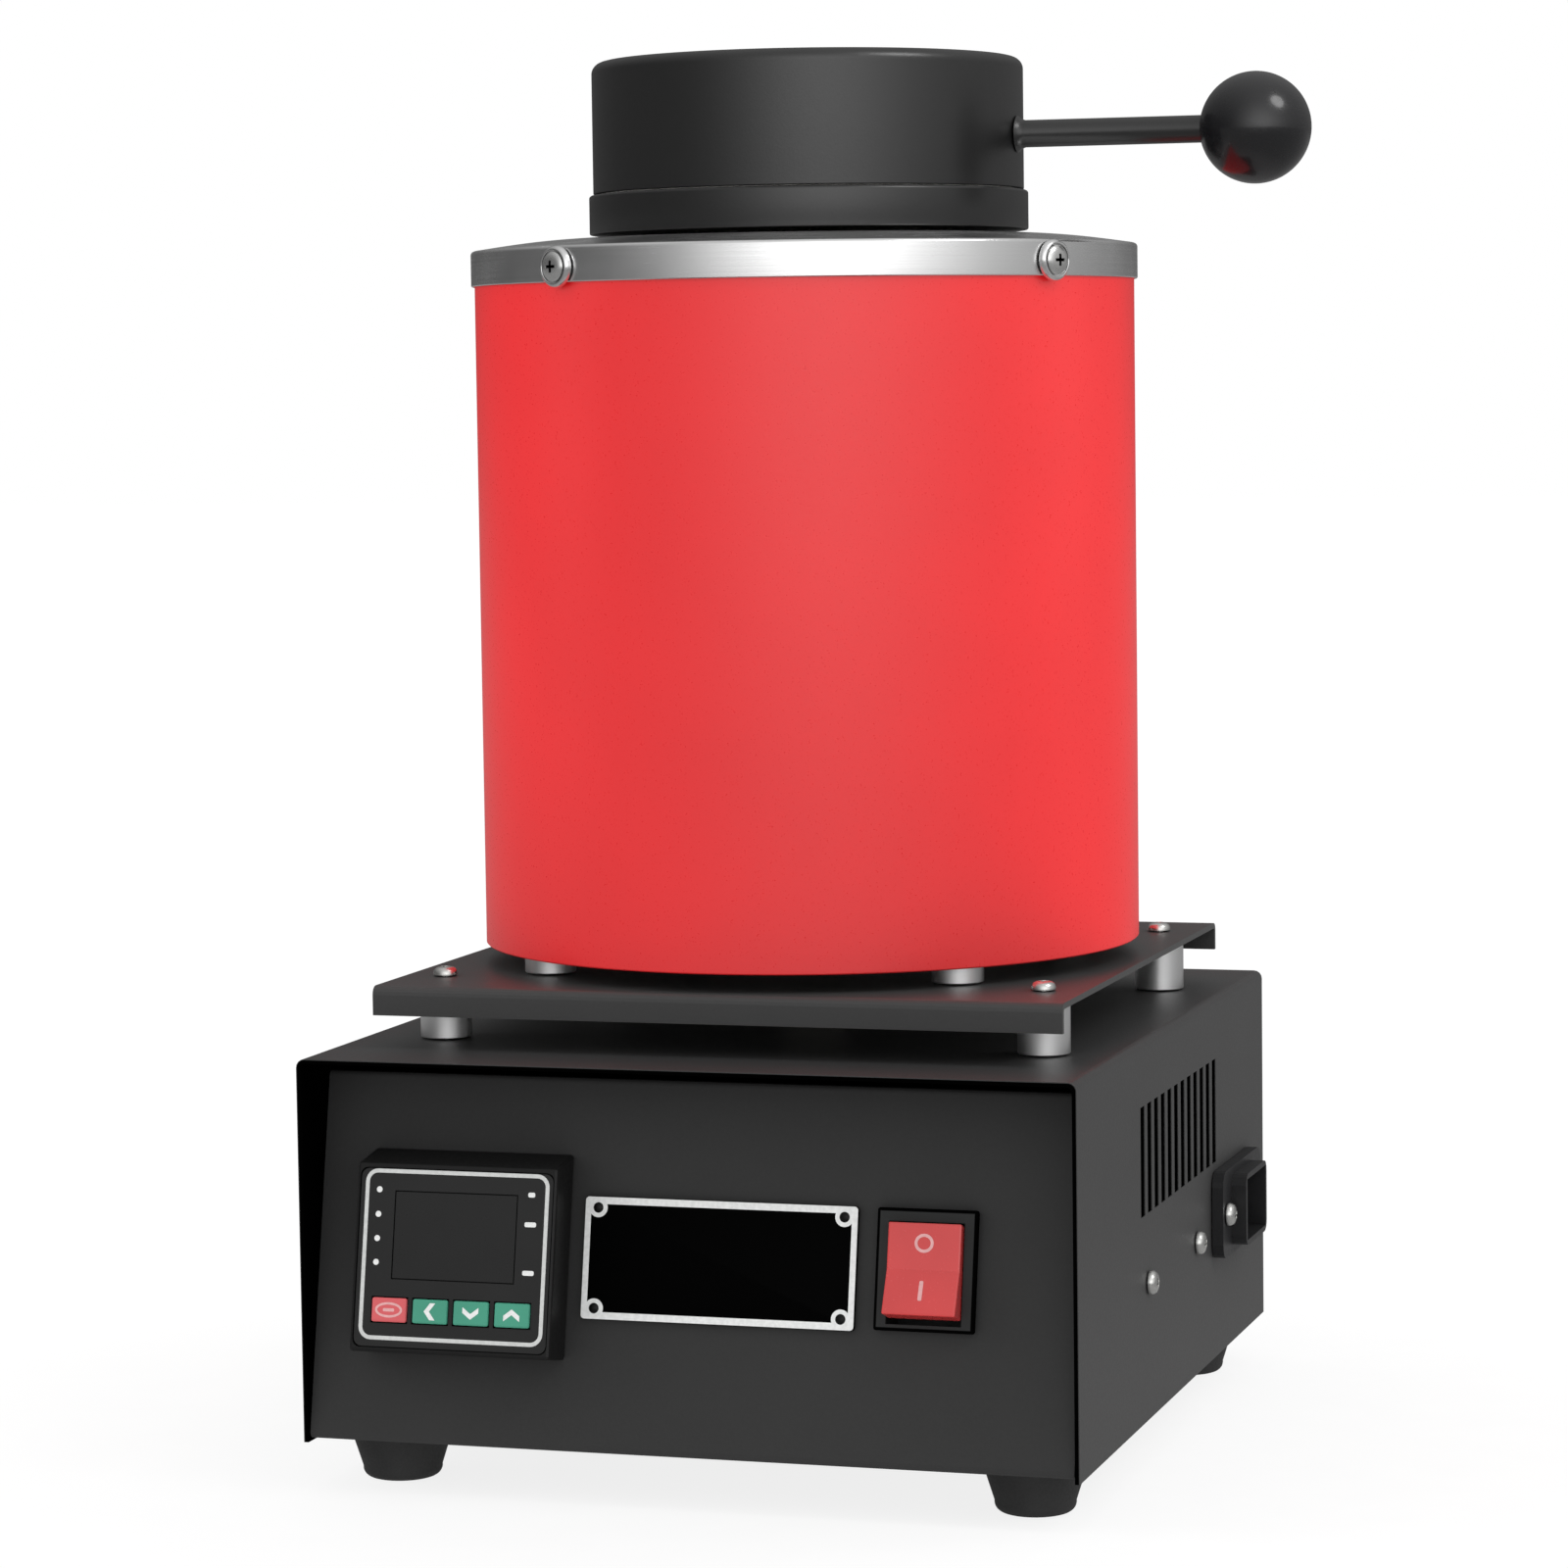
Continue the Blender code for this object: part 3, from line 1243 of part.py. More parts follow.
def make_coil():
    """One unbroken wire wound on the muffle as a helix."""
    spline_points = COIL_TURNS * COIL_POINTS_PER_TURN + 1
    curve = bpy.data.curves.new("heating_coil", "CURVE")
    curve.dimensions = "3D"
    curve.bevel_depth = COIL_WIRE_RADIUS
    curve.bevel_resolution = 1
    curve.use_fill_caps = True
    curve.resolution_u = 1
    spline = curve.splines.new("POLY")
    spline.points.add(spline_points - 1)
    for i, point in enumerate(spline.points):
        angle = 2 * pi * i / COIL_POINTS_PER_TURN
        height = COIL_START + COIL_PITCH * i / COIL_POINTS_PER_TURN
        point.co = (COIL_REACH * cos(angle), COIL_REACH * sin(angle), height, 1.0)
    print("least gap between the coil's turns, mm:", 1000 * (COIL_PITCH - 2 * COIL_WIRE_RADIUS))
    obj = bpy.data.objects.new("heating_coil", curve)
    FURNACE.objects.link(obj)
    curve.materials.append(COIL_WIRE)


def make_crucible():
    bottom = MUFFLE_BOTTOM + MUFFLE_FLOOR + TOUCH_GAP
    top = CRUCIBLE_TOP
    inner_floor = bottom + CRUCIBLE_FLOOR
    points = [
        (0, inner_floor),
        (CRUCIBLE_BOTTOM_RADIUS - CRUCIBLE_WALL, inner_floor),
        (CRUCIBLE_TOP_RADIUS - CRUCIBLE_WALL, top - CRUCIBLE_EDGE),
        (CRUCIBLE_TOP_RADIUS - CRUCIBLE_WALL + CRUCIBLE_EDGE, top),
        (CRUCIBLE_TOP_RADIUS - CRUCIBLE_EDGE, top),
        (CRUCIBLE_TOP_RADIUS, top - CRUCIBLE_EDGE),
        (CRUCIBLE_BOTTOM_RADIUS, bottom + CRUCIBLE_EDGE),
        (CRUCIBLE_BOTTOM_RADIUS - CRUCIBLE_EDGE, bottom),
        (0, bottom),
    ]
    turned("crucible", points, HIDDEN_STEPS, FURNACE, GRAPHITE)


def make_leads():
    bottom = BOX_TOP - THERMOCOUPLE_BELOW_BOX_TOP
    top = MUFFLE_BOTTOM + THERMOCOUPLE_INTO_MUFFLE
    points = [(0, top), (THERMOCOUPLE_RADIUS, top), (THERMOCOUPLE_RADIUS, bottom), (0, bottom)]
    turned("thermocouple", points, PIN_STEPS, FURNACE, ZINC)
    sleeve_bottom = BOX_TOP - LEAD_SLEEVE_BELOW_BOX_TOP
    bore = LEAD_SLEEVE_RADIUS - LEAD_SLEEVE_WALL
    turned(
        "lead_sleeve",
        ring_profile(LEAD_SLEEVE_RADIUS, bore, sleeve_bottom, FLOOR_TOP),
        SMALL_STEPS,
        FURNACE,
        CERAMIC,
        closed=True,
    )


def dome_points(drop, steps):
    """The cap's top from the mouth out to its rim, lowered by drop, with so many steps in each curve."""
    bend = CAP_BEND - drop
    bend_centre = (CAP_RADIUS - CAP_BEND, CAP_SHOULDER - CAP_BEND)
    start = CAP_RADIUS - CAP_BEND
    points = [(MOUTH_RADIUS, CAP_TOP - drop), (DOME_FLAT_RADIUS, CAP_TOP - drop)]
    for step in range(1, steps):
        along = step / steps
        radius = DOME_FLAT_RADIUS + (start - DOME_FLAT_RADIUS) * along
        fall = DOME_RISE * (1 - cos(pi * along / 2))
        points.append((radius, CAP_TOP - drop - fall))
    points += arc(bend_centre, bend, 90, 0, steps)
    return points


def make_top_cap():
    outer = dome_points(0, DOME_STEPS)
    inner = dome_points(CAP_SHEET, INNER_BEND_STEPS)
    rim_bottom = CAP_SHOULDER - CAP_RIM_HEIGHT
    points = outer + [(CAP_RADIUS, rim_bottom), (CAP_RADIUS - CAP_SHEET, rim_bottom)] + inner[::-1]
    cap = turned("top_cap", points, BIG_STEPS, FURNACE, STEEL, closed=True)
    cut(cap, "cap_screw_holes", cap_hole_mesh("cap_screw_holes"))
    bolt_hole = PIVOT_RADIUS + TOUCH_GAP
    ends = [(LID_OFFSET_X, PIVOT_OFFSET, CAP_TOP + side * CUT_PAST) for side in (-1, 1)]
    bore = [(*ends, bolt_hole)]
    cut(cap, "cap_bolt_hole", bore_mesh("cap_bolt_hole", bore, SMALL_STEPS))


def make_cap_screws():
    level = CAP_SHOULDER - CAP_SCREW_DROP
    cup = [
        (CUP_SEAT_RADIUS, CUP_HEIGHT),
        (CUP_RADIUS - CUP_HEIGHT / 2, CUP_HEIGHT * CUP_CROWN_SHARE),
        (CUP_RADIUS, 0),
        (CUP_BORE, 0),
        (CUP_BORE, CUP_SEAT_HEIGHT),
        (CUP_SEAT_RADIUS, CUP_SEAT_HEIGHT),
    ]
    seat = CAP_RADIUS + TOUCH_GAP
    for i in range(CAP_SCREW_COUNT):
        angle = cap_screw_angle(i)
        facing = (0, pi / 2, angle)
        place = (seat * cos(angle), seat * sin(angle), level)
        turned(
            "cup_washer_" + str(i + 1),
            cup,
            SMALL_STEPS,
            FURNACE,
            STEEL,
            closed=True,
            location=place,
            rotation=facing,
        )
        head_seat = seat + CUP_SEAT_HEIGHT + TOUCH_GAP
        make_screw(
            "cap_screw_" + str(i + 1),
            CAP_HEAD_RADIUS,
            CAP_HEAD_HEIGHT,
            CAP_SCREW_LENGTH + CUP_SEAT_HEIGHT,
            CAP_RECESS_LENGTH,
            (head_seat * cos(angle), head_seat * sin(angle), level),
            facing,
        )


def make_lid():
    """The lid's pieces hang on an empty at the pivot bolt's axis."""
    hinge = bpy.data.objects.new("lid_pivot", None)
    FURNACE.objects.link(hinge)
    hinge.location = (LID_OFFSET_X, PIVOT_OFFSET, 0)
    middle = (0, -PIVOT_OFFSET, 0)
    bolt_hole = PIVOT_RADIUS + PIVOT_CLEARANCE
    flange_bore = LID_FILL_RADIUS + LID_FILL_GAP
    flange_top = DRUM_BOTTOM - TOUCH_GAP
    flange = [
        (LID_FLANGE_RADIUS - LID_FLANGE_EDGE, flange_top),
        (LID_FLANGE_RADIUS, flange_top - LID_FLANGE_EDGE),
        (LID_FLANGE_RADIUS, LID_BOTTOM),
        (LID_PLATE_BORE, LID_BOTTOM),
        (LID_PLATE_BORE, LID_PLATE_TOP),
        (flange_bore, LID_PLATE_TOP),
        (flange_bore, flange_top),
    ]
    ring = turned(
        "lid_flange", flange, BIG_STEPS, FURNACE, LID_PAINT, closed=True, parent=hinge, location=middle
    )
    plate_bore = [((0, 0, LID_BOTTOM - CUT_PAST), (0, 0, LID_PLATE_TOP + CUT_PAST), bolt_hole)]
    cut(ring, "plate_bolt_hole", bore_mesh("plate_bolt_hole", plate_bore, SMALL_STEPS), parent=hinge)
    corner = (LID_RADIUS - LID_DRUM_EDGE, LID_TOP - LID_DRUM_EDGE)
    inner_top = LID_TOP - LID_SHEET
    drum = [(0, LID_TOP)]
    drum += arc(corner, LID_DRUM_EDGE, 90, 0, BEND_STEPS)
    drum += [(LID_RADIUS, DRUM_BOTTOM), (LID_RADIUS - LID_SHEET, DRUM_BOTTOM)]
    drum += arc(corner, LID_DRUM_EDGE - LID_SHEET, 0, 90, INNER_BEND_STEPS)
    drum.append((0, inner_top))
    turned("lid_shell", drum, BIG_STEPS, FURNACE, LID_PAINT, parent=hinge, location=middle)
    fill_top = inner_top - TOUCH_GAP
    fill_edge = LID_DRUM_EDGE
    fill = [
        (0, fill_top),
        (LID_FILL_RADIUS - fill_edge, fill_top),
        (LID_FILL_RADIUS, fill_top - fill_edge),
        (LID_FILL_RADIUS, LID_PLATE_TOP + TOUCH_GAP),
        (LID_PLATE_BORE - LID_FILL_GAP, LID_PLATE_TOP + TOUCH_GAP),
        (LID_PLATE_BORE - LID_FILL_GAP, LID_BOTTOM + LID_FILL_RISE),
        (0, LID_BOTTOM + LID_FILL_RISE),
    ]
    filling = turned(
        "lid_insulation", fill, HIDDEN_STEPS, FURNACE, FIBRE, parent=hinge, location=middle
    )
    pocket_top = PIVOT_HEAD_TOP + PIVOT_POCKET_CLEARANCE
    pocket_radius = PIVOT_HEAD_RADIUS + PIVOT_CLEARANCE
    pocket = [((0, 0, LID_BOTTOM - CUT_PAST), (0, 0, pocket_top), pocket_radius)]
    cut(filling, "fill_pocket", bore_mesh("fill_pocket", pocket, SMALL_STEPS), parent=hinge)
    make_handle(hinge)


def make_handle(hinge):
    start = LID_RADIUS + TOUCH_GAP
    end = BALL_REACH - BALL_RADIUS + BALL_BORE_DEPTH - TOUCH_GAP
    rod = [
        (0, end),
        (ROD_RADIUS, end),
        (ROD_RADIUS, start + ROD_ROOT_LENGTH),
        (ROD_ROOT_RADIUS, start),
        (0, start),
    ]
    turned(
        "handle_rod",
        rod,
        SMALL_STEPS,
        FURNACE,
        LID_PAINT,
        parent=hinge,
        location=(0, -PIVOT_OFFSET, ROD_LEVEL),
        rotation=(0, pi / 2, 0),
    )
    place = (BALL_REACH, -PIVOT_OFFSET, ROD_LEVEL)

    def build(shape):
        facing = Matrix.Rotation(pi / 2, 4, "Y")
        bmesh.ops.create_uvsphere(
            shape,
            u_segments=BALL_SEGMENTS,
            v_segments=BALL_RINGS,
            radius=BALL_RADIUS,
            matrix=facing,
        )

    ball = add_object(
        "ball_knob",
        smooth(mesh_from("ball_knob", build)),
        FURNACE,
        GLOSS_BLACK,
        parent=hinge,
        location=place,
    )
    bore_radius = ROD_RADIUS + BALL_BORE_CLEARANCE
    bore = [((-BALL_RADIUS - CUT_PAST, 0, 0), (BALL_BORE_DEPTH - BALL_RADIUS, 0, 0), bore_radius)]
    cut(ball, "ball_bore", bore_mesh("ball_bore", bore, SMALL_STEPS), parent=hinge, location=place)


def make_pivot_bolt():
    head_bottom = LID_PLATE_TOP + TOUCH_GAP
    nut_top = CAP_TOP - CAP_SHEET - TOUCH_GAP
    points = [
        (0, PIVOT_HEAD_TOP),
        (PIVOT_HEAD_RADIUS, PIVOT_HEAD_TOP),
        (PIVOT_HEAD_RADIUS, head_bottom),
        (PIVOT_RADIUS, head_bottom),
        (PIVOT_RADIUS, nut_top),
        (PIVOT_HEAD_RADIUS, nut_top),
        (PIVOT_HEAD_RADIUS, nut_top - PIVOT_NUT_HEIGHT),
        (PIVOT_RADIUS, nut_top - PIVOT_NUT_HEIGHT),
        (PIVOT_RADIUS, PIVOT_END),
        (0, PIVOT_END),
    ]
    place = (LID_OFFSET_X, PIVOT_OFFSET, 0)
    turned("pivot_bolt", points, SMALL_STEPS, FURNACE, ZINC, location=place)


def shift_stack(box_pieces):
    """Moves the tray and all that it carries to the right of the box's middle."""
    for obj in bpy.data.objects:
        if obj.parent is None and obj not in box_pieces:
            obj.location.x += STACK_OFFSET_X


def centre_all():
    for collection in (FURNACE, CUTTERS):
        for obj in collection.objects:
            if obj.parent is None:
                obj.location.x += CENTRE_SHIFT_X
                obj.location.y += CENTRE_SHIFT_Y


make_cover()
PANEL_FRAME = make_panel_frame()
make_chassis(PANEL_FRAME)
make_feet()
make_controller(PANEL_FRAME)
make_nameplate(PANEL_FRAME)
make_switch(PANEL_FRAME)
make_inlet()
make_wall_screws()
make_relay()
make_terminal_block()
BOX_PIECES = set(bpy.data.objects)
make_tray()
make_standoffs()
make_barrel()
make_insulation()
make_muffle()
make_coil()
make_crucible()
make_leads()
make_top_cap()
make_cap_screws()
make_lid()
make_pivot_bolt()
shift_stack(BOX_PIECES)
centre_all()
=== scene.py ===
"""The looks of the electric gold melting furnace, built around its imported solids. Metres, +Z up."""

from math import asin, atan2, cos, degrees, pi, radians, sin

import bmesh
import bpy
from mathutils import Matrix, Vector


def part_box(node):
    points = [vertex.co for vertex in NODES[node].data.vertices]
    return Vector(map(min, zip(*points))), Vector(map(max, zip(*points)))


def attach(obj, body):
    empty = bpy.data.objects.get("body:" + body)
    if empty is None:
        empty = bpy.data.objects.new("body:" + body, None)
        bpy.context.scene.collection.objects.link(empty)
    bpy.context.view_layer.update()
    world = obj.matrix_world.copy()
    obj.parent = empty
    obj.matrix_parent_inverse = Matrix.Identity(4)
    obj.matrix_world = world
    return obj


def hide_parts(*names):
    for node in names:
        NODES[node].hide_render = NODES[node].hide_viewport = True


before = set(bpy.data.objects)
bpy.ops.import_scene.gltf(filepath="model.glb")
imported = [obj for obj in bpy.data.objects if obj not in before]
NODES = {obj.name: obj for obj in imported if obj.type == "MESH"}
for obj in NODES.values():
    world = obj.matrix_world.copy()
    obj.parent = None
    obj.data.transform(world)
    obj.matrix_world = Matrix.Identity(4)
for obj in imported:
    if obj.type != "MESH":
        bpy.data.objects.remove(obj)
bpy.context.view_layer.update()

BARREL_LOW, BARREL_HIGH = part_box("barrel_shell")
COVER_LOW, COVER_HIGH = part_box("cover")
CHASSIS_LOW, CHASSIS_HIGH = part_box("chassis")
LID_LOW, LID_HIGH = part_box("lid_shell")


def middle_of(low, high, level=0.0):
    return Matrix.Translation(((low.x + high.x) / 2, (low.y + high.y) / 2, level))


# The upright axes of the barrel and of the lid, and the middle of the control box.
MIDDLE = middle_of(BARREL_LOW, BARREL_HIGH)
LID_MIDDLE = middle_of(LID_LOW, LID_HIGH)
BOX_MIDDLE = middle_of(COVER_LOW, COVER_HIGH).translation

# The leaning panel's outer face.
PANEL_FOOT_SETBACK = 0.0003
PANEL_TOP_SETBACK = 0.0185
PANEL_LEAN = atan2(PANEL_TOP_SETBACK - PANEL_FOOT_SETBACK, CHASSIS_HIGH.z - CHASSIS_LOW.z)
PANEL = (
    Matrix.Translation((BOX_MIDDLE.x, COVER_LOW.y + PANEL_FOOT_SETBACK, CHASSIS_LOW.z))
    @ Matrix.Rotation(-PANEL_LEAN, 4, "X")
)
INK = 0.00004


class Nodes:
    """A material's node tree with short calls."""

    def __init__(self, name):
        self.material = bpy.data.materials.new(name)
        self.material.use_nodes = True
        self.tree = self.material.node_tree
        self.shader = self.tree.nodes["Principled BSDF"]
        self.coords = self.tree.nodes.new("ShaderNodeTexCoord").outputs["Object"]

    def link(self, a, b):
        self.tree.links.new(a, b)

    def noise(self, scale, detail=2.0, rough=0.5, vector=None, stretch=None):
        node = self.tree.nodes.new("ShaderNodeTexNoise")
        node.inputs["Scale"].default_value = scale
        node.inputs["Detail"].default_value = detail
        node.inputs["Roughness"].default_value = rough
        source = vector or self.coords
        if stretch:
            mapping = self.tree.nodes.new("ShaderNodeMapping")
            mapping.inputs["Scale"].default_value = stretch
            self.link(source, mapping.inputs["Vector"])
            source = mapping.outputs["Vector"]
        self.link(source, node.inputs["Vector"])
        return node.outputs["Fac"]

    def remap(self, value, low, high, to_low, to_high):
        """The value's share of the way from low to high, as a share of the way from to_low to to_high."""
        node = self.tree.nodes.new("ShaderNodeMapRange")
        node.inputs["From Min"].default_value = low
        node.inputs["From Max"].default_value = high
        node.inputs["To Min"].default_value = to_low
        node.inputs["To Max"].default_value = to_high
        self.link(value, node.inputs["Value"])
        return node.outputs["Result"]

    def math(self, operation, a, b):
        node = self.tree.nodes.new("ShaderNodeMath")
        node.operation = operation
        for socket, value in zip(node.inputs, (a, b)):
            if isinstance(value, (int, float)):
                socket.default_value = value
            else:
                self.link(value, socket)
        return node.outputs[0]

    def mix(self, fac, a, b):
        node = self.tree.nodes.new("ShaderNodeMix")
        node.data_type = "RGBA"
        if isinstance(fac, (int, float)):
            node.inputs[0].default_value = fac
        else:
            self.link(fac, node.inputs[0])
        for socket, value in ((node.inputs[6], a), (node.inputs[7], b)):
            if isinstance(value, tuple):
                socket.default_value = (*value, 1.0)
            else:
                self.link(value, socket)
        return node.outputs[2]

    def bump(self, height, distance, strength=1.0, under=None):
        node = self.tree.nodes.new("ShaderNodeBump")
        node.inputs["Strength"].default_value = strength
        node.inputs["Distance"].default_value = distance
        self.link(height, node.inputs["Height"])
        if under:
            self.link(under, node.inputs["Normal"])
        return node.outputs["Normal"]

    def axis(self, name):
        node = self.tree.nodes.new("ShaderNodeSeparateXYZ")
        self.link(self.coords, node.inputs[0])
        return node.outputs[name]

    def from_axis(self):
        """How far a place lies out from the Z axis."""
        x, y = self.axis("X"), self.axis("Y")
        square = self.math("ADD", self.math("MULTIPLY", x, x), self.math("MULTIPLY", y, y))
        return self.math("SQRT", square, 0)

    def along(self, direction, origin):
        """How far a place lies from the origin along a direction."""
        node = self.tree.nodes.new("ShaderNodeVectorMath")
        node.operation = "DOT_PRODUCT"
        self.link(self.coords, node.inputs[0])
        node.inputs[1].default_value = tuple(direction)
        return self.math("SUBTRACT", node.outputs["Value"], float(Vector(direction).dot(Vector(origin))))

    def past(self, value, middle, half):
        """How far a value lies outside middle plus or minus half, and zero within."""
        apart = self.math("ABSOLUTE", self.math("SUBTRACT", value, middle), 0)
        return self.math("MAXIMUM", self.math("SUBTRACT", apart, half), 0.0)

    def step(self, value, level, soft=0.0001):
        """0 below the level and 1 above it."""
        return self.remap(value, level - soft, level + soft, 0.0, 1.0)

    def turning(self, fine):
        """Coordinates that run finely out from the Z axis and along it, and slowly round it."""
        around = self.math("ARCTAN2", self.axis("Y"), self.axis("X"))
        node = self.tree.nodes.new("ShaderNodeCombineXYZ")
        self.link(self.math("MULTIPLY", self.from_axis(), fine), node.inputs[0])
        self.link(self.math("MULTIPLY", self.axis("Z"), fine), node.inputs[1])
        self.link(around, node.inputs[2])
        return node.outputs[0]

    def set(self, **values):
        for name, value in values.items():
            socket = self.shader.inputs[name.replace("_", " ")]
            if isinstance(value, tuple):
                socket.default_value = (*value, 1.0)
            elif isinstance(value, (int, float)):
                socket.default_value = value
            else:
                self.link(value, socket)
        return self.material


def shade(colour, factor):
    return tuple(min(1.0, c * factor) for c in colour)


def powder_coat(name, colour, roughness, grain=1100.0, depth=0.00006, speck=0.25, sheen=0.5, dark=None):
    """Textured powder paint: a fine pebbled grain and slight clouding. Where dark is 1 it is painted shade:
    near black, rougher and without sheen.
    """
    n = Nodes(name)
    grain_value = n.noise(grain, 3.0, 0.6)
    cloud = n.remap(n.noise(28.0, 3.0), 0.3, 0.7, 0.0, 1.0)
    base = n.mix(cloud, shade(colour, 0.97), shade(colour, 1.03))
    specks = n.remap(grain_value, 0.38, 0.68, 0.0, speck)
    coloured = n.mix(specks, base, shade(colour, 1.5))
    rough = n.remap(n.noise(2.0 * grain, 2.0), 0.3, 0.7, roughness - 0.03, roughness + 0.03)
    normal = n.bump(grain_value, depth, 0.55)
    if dark is None:
        return n.set(Base_Color=coloured, Roughness=rough, Normal=normal, Specular_IOR_Level=sheen)
    # painted shade: near black paint, rougher and with no sheen where the mask is 1
    shade_mask = dark(n)
    coloured = n.mix(shade_mask, coloured, (0.0006, 0.0006, 0.0006))
    rough = n.math("ADD", rough, n.math("MULTIPLY", shade_mask, 0.5))
    level = n.math("MULTIPLY", n.math("SUBTRACT", 1.0, shade_mask), sheen)
    return n.set(Base_Color=coloured, Roughness=rough, Normal=normal, Specular_IOR_Level=level)


def cover_inner_shade(n):
    """Painted shade for the control box's cover: 1 behind its outer skin, on the inner faces and most of the
    sheet's cut edge, and 0 on the skin.
    """
    radius = 0.0022
    half = (COVER_HIGH.x - COVER_LOW.x) / 2 - radius
    out_x = n.past(n.axis("X"), BOX_MIDDLE.x, half)
    out_z = n.math("MAXIMUM", n.math("SUBTRACT", n.axis("Z"), COVER_HIGH.z - radius), 0.0)
    reach = n.math("ADD", n.math("MULTIPLY", out_x, out_x), n.math("MULTIPLY", out_z, out_z))
    return n.math("SUBTRACT", 1.0, n.step(n.math("SQRT", reach, 0), radius - 0.00022, 0.00005))


def chassis_back_shade(n):
    """Painted shade for the chassis: 1 behind its front face, and 0 on that face and the back panel's
    outside.
    """
    facing = PANEL.to_3x3() @ Vector((0, -1, 0))
    behind = n.math("SUBTRACT", 1.0, n.step(n.along(facing, PANEL.translation), -0.0006, 0.0002))
    back = n.math("SUBTRACT", 1.0, n.step(n.axis("Y"), CHASSIS_HIGH.y - 0.0003))
    low = n.step(n.axis("Z"), CHASSIS_LOW.z + 0.0014)
    return n.math("MULTIPLY", n.math("MULTIPLY", behind, back), low)


def moulded(name, colour, roughness, grain=2600.0, depth=0.00002, coat=0.0, sheen=0.5, edge=None):
    """Moulded plastic with spark-eroded grain. Beyond an edge on the front panel it is painted shade, black
    and without sheen; the edge is given as x and height of its middle, width and height."""
    n = Nodes(name)
    flow = n.remap(n.noise(60.0, 2.0), 0.3, 0.7, 0.0, 1.0)
    base = n.mix(flow, shade(colour, 0.94), shade(colour, 1.06))
    rough = n.remap(n.noise(900.0, 2.0), 0.3, 0.7, roughness - 0.03, roughness + 0.04)
    normal = n.bump(n.noise(grain, 2.0), depth, 0.5)
    n.set(Coat_Weight=coat, Coat_Roughness=0.08)
    if edge is None:
        return n.set(Base_Color=base, Roughness=rough, Normal=normal, Specular_IOR_Level=sheen)
    x, height, wide, tall = edge
    up = PANEL.to_3x3() @ Vector((0, 0, 1))
    side = n.past(n.axis("X"), BOX_MIDDLE.x + x, wide / 2)
    end = n.past(n.along(up, PANEL.translation), height, tall / 2)
    # painted shade: black and without sheen beyond the edge
    shade_mask = n.step(n.math("MAXIMUM", side, end), 0.00012, 0.0001)
    level = n.math("MULTIPLY", n.math("SUBTRACT", 1.0, shade_mask), sheen)
    black = n.mix(shade_mask, base, (0.0012, 0.0012, 0.0012))
    return n.set(Base_Color=black, Roughness=rough, Normal=normal, Specular_IOR_Level=level)


def metal(name, colour, roughness, fine=2500.0, depth=0.000006, spread=0.08, pit=None):
    """Turned or polished metal: fine rings round its own axis and faint smudges. A recess about that
    axis, above z = 0, is painted shade, near black: pit gives its reach and the level of its mouth."""
    n = Nodes(name)
    rings = n.noise(1.0, 3.0, 0.6, vector=n.turning(fine))
    smudge = n.noise(45.0, 3.0)
    base = n.mix(n.remap(smudge, 0.3, 0.7, 0.0, 1.0), shade(colour, 0.94), colour)
    low, high = roughness - spread / 2, roughness + spread
    blend = n.math("ADD", n.math("MULTIPLY", rings, 0.5), n.math("MULTIPLY", smudge, 0.5))
    rough = n.remap(blend, 0.35, 0.65, low, high)
    normal = n.bump(rings, depth, 0.5)
    # painted shade: the recess darkened to near black
    if pit:
        reach, mouth = pit
        out = n.past(n.from_axis(), 0.0, reach)
        off = n.past(n.axis("Z"), mouth / 2, mouth / 2)
        shade_mask = n.math("SUBTRACT", 1.0, n.step(n.math("MAXIMUM", out, off), 0.00008, 0.00008))
        base = n.mix(shade_mask, base, (0.012, 0.012, 0.012))
    return n.set(Base_Color=base, Roughness=rough, Metallic=1.0, Normal=normal)


def fibre(name, colour):
    """Pressed ceramic fibre: matted, pitted and a little stained."""
    n = Nodes(name)
    mat = n.noise(500.0, 4.0, 0.7, stretch=(1.0, 1.0, 2.5))
    stain = n.remap(n.noise(22.0, 3.0), 0.45, 0.75, 0.0, 0.35)
    base = n.mix(stain, colour, (0.55, 0.47, 0.37))
    normal = n.bump(mat, 0.0004, 0.7)
    rough = n.remap(mat, 0.3, 0.7, 0.9, 1.0)
    return n.set(Base_Color=base, Roughness=rough, Normal=normal)


def ceramic(name, colour):
    n = Nodes(name)
    pits = n.noise(900.0, 3.0, 0.6)
    scorch = n.remap(n.noise(30.0, 3.0), 0.5, 0.75, 0.0, 0.3)
    base = n.mix(scorch, colour, (0.45, 0.33, 0.22))
    rough = n.remap(pits, 0.3, 0.7, 0.75, 0.9)
    return n.set(Base_Color=base, Roughness=rough, Normal=n.bump(pits, 0.0001, 0.5))


def graphite(name):
    n = Nodes(name)
    rings = n.noise(1.0, 2.0, 0.6, vector=n.turning(1400.0))
    pores = n.noise(1800.0, 3.0, 0.7)
    base = n.mix(n.remap(pores, 0.35, 0.7, 0.0, 1.0), (0.028, 0.028, 0.030), (0.062, 0.062, 0.065))
    rough = n.remap(rings, 0.3, 0.7, 0.48, 0.62)
    normal = n.bump(pores, 0.00004, 0.4, under=n.bump(rings, 0.00002, 0.6))
    return n.set(Base_Color=base, Roughness=rough, Metallic=0.35, Normal=normal)


def rubber(name):
    n = Nodes(name)
    skin = n.noise(1500.0, 2.0)
    bloom = n.remap(n.noise(70.0, 3.0), 0.4, 0.75, 0.0, 0.5)
    base = n.mix(bloom, (0.014, 0.014, 0.014), (0.030, 0.030, 0.030))
    rough = n.remap(skin, 0.3, 0.7, 0.55, 0.70)
    return n.set(Base_Color=base, Roughness=rough, Normal=n.bump(skin, 0.00005, 0.4))


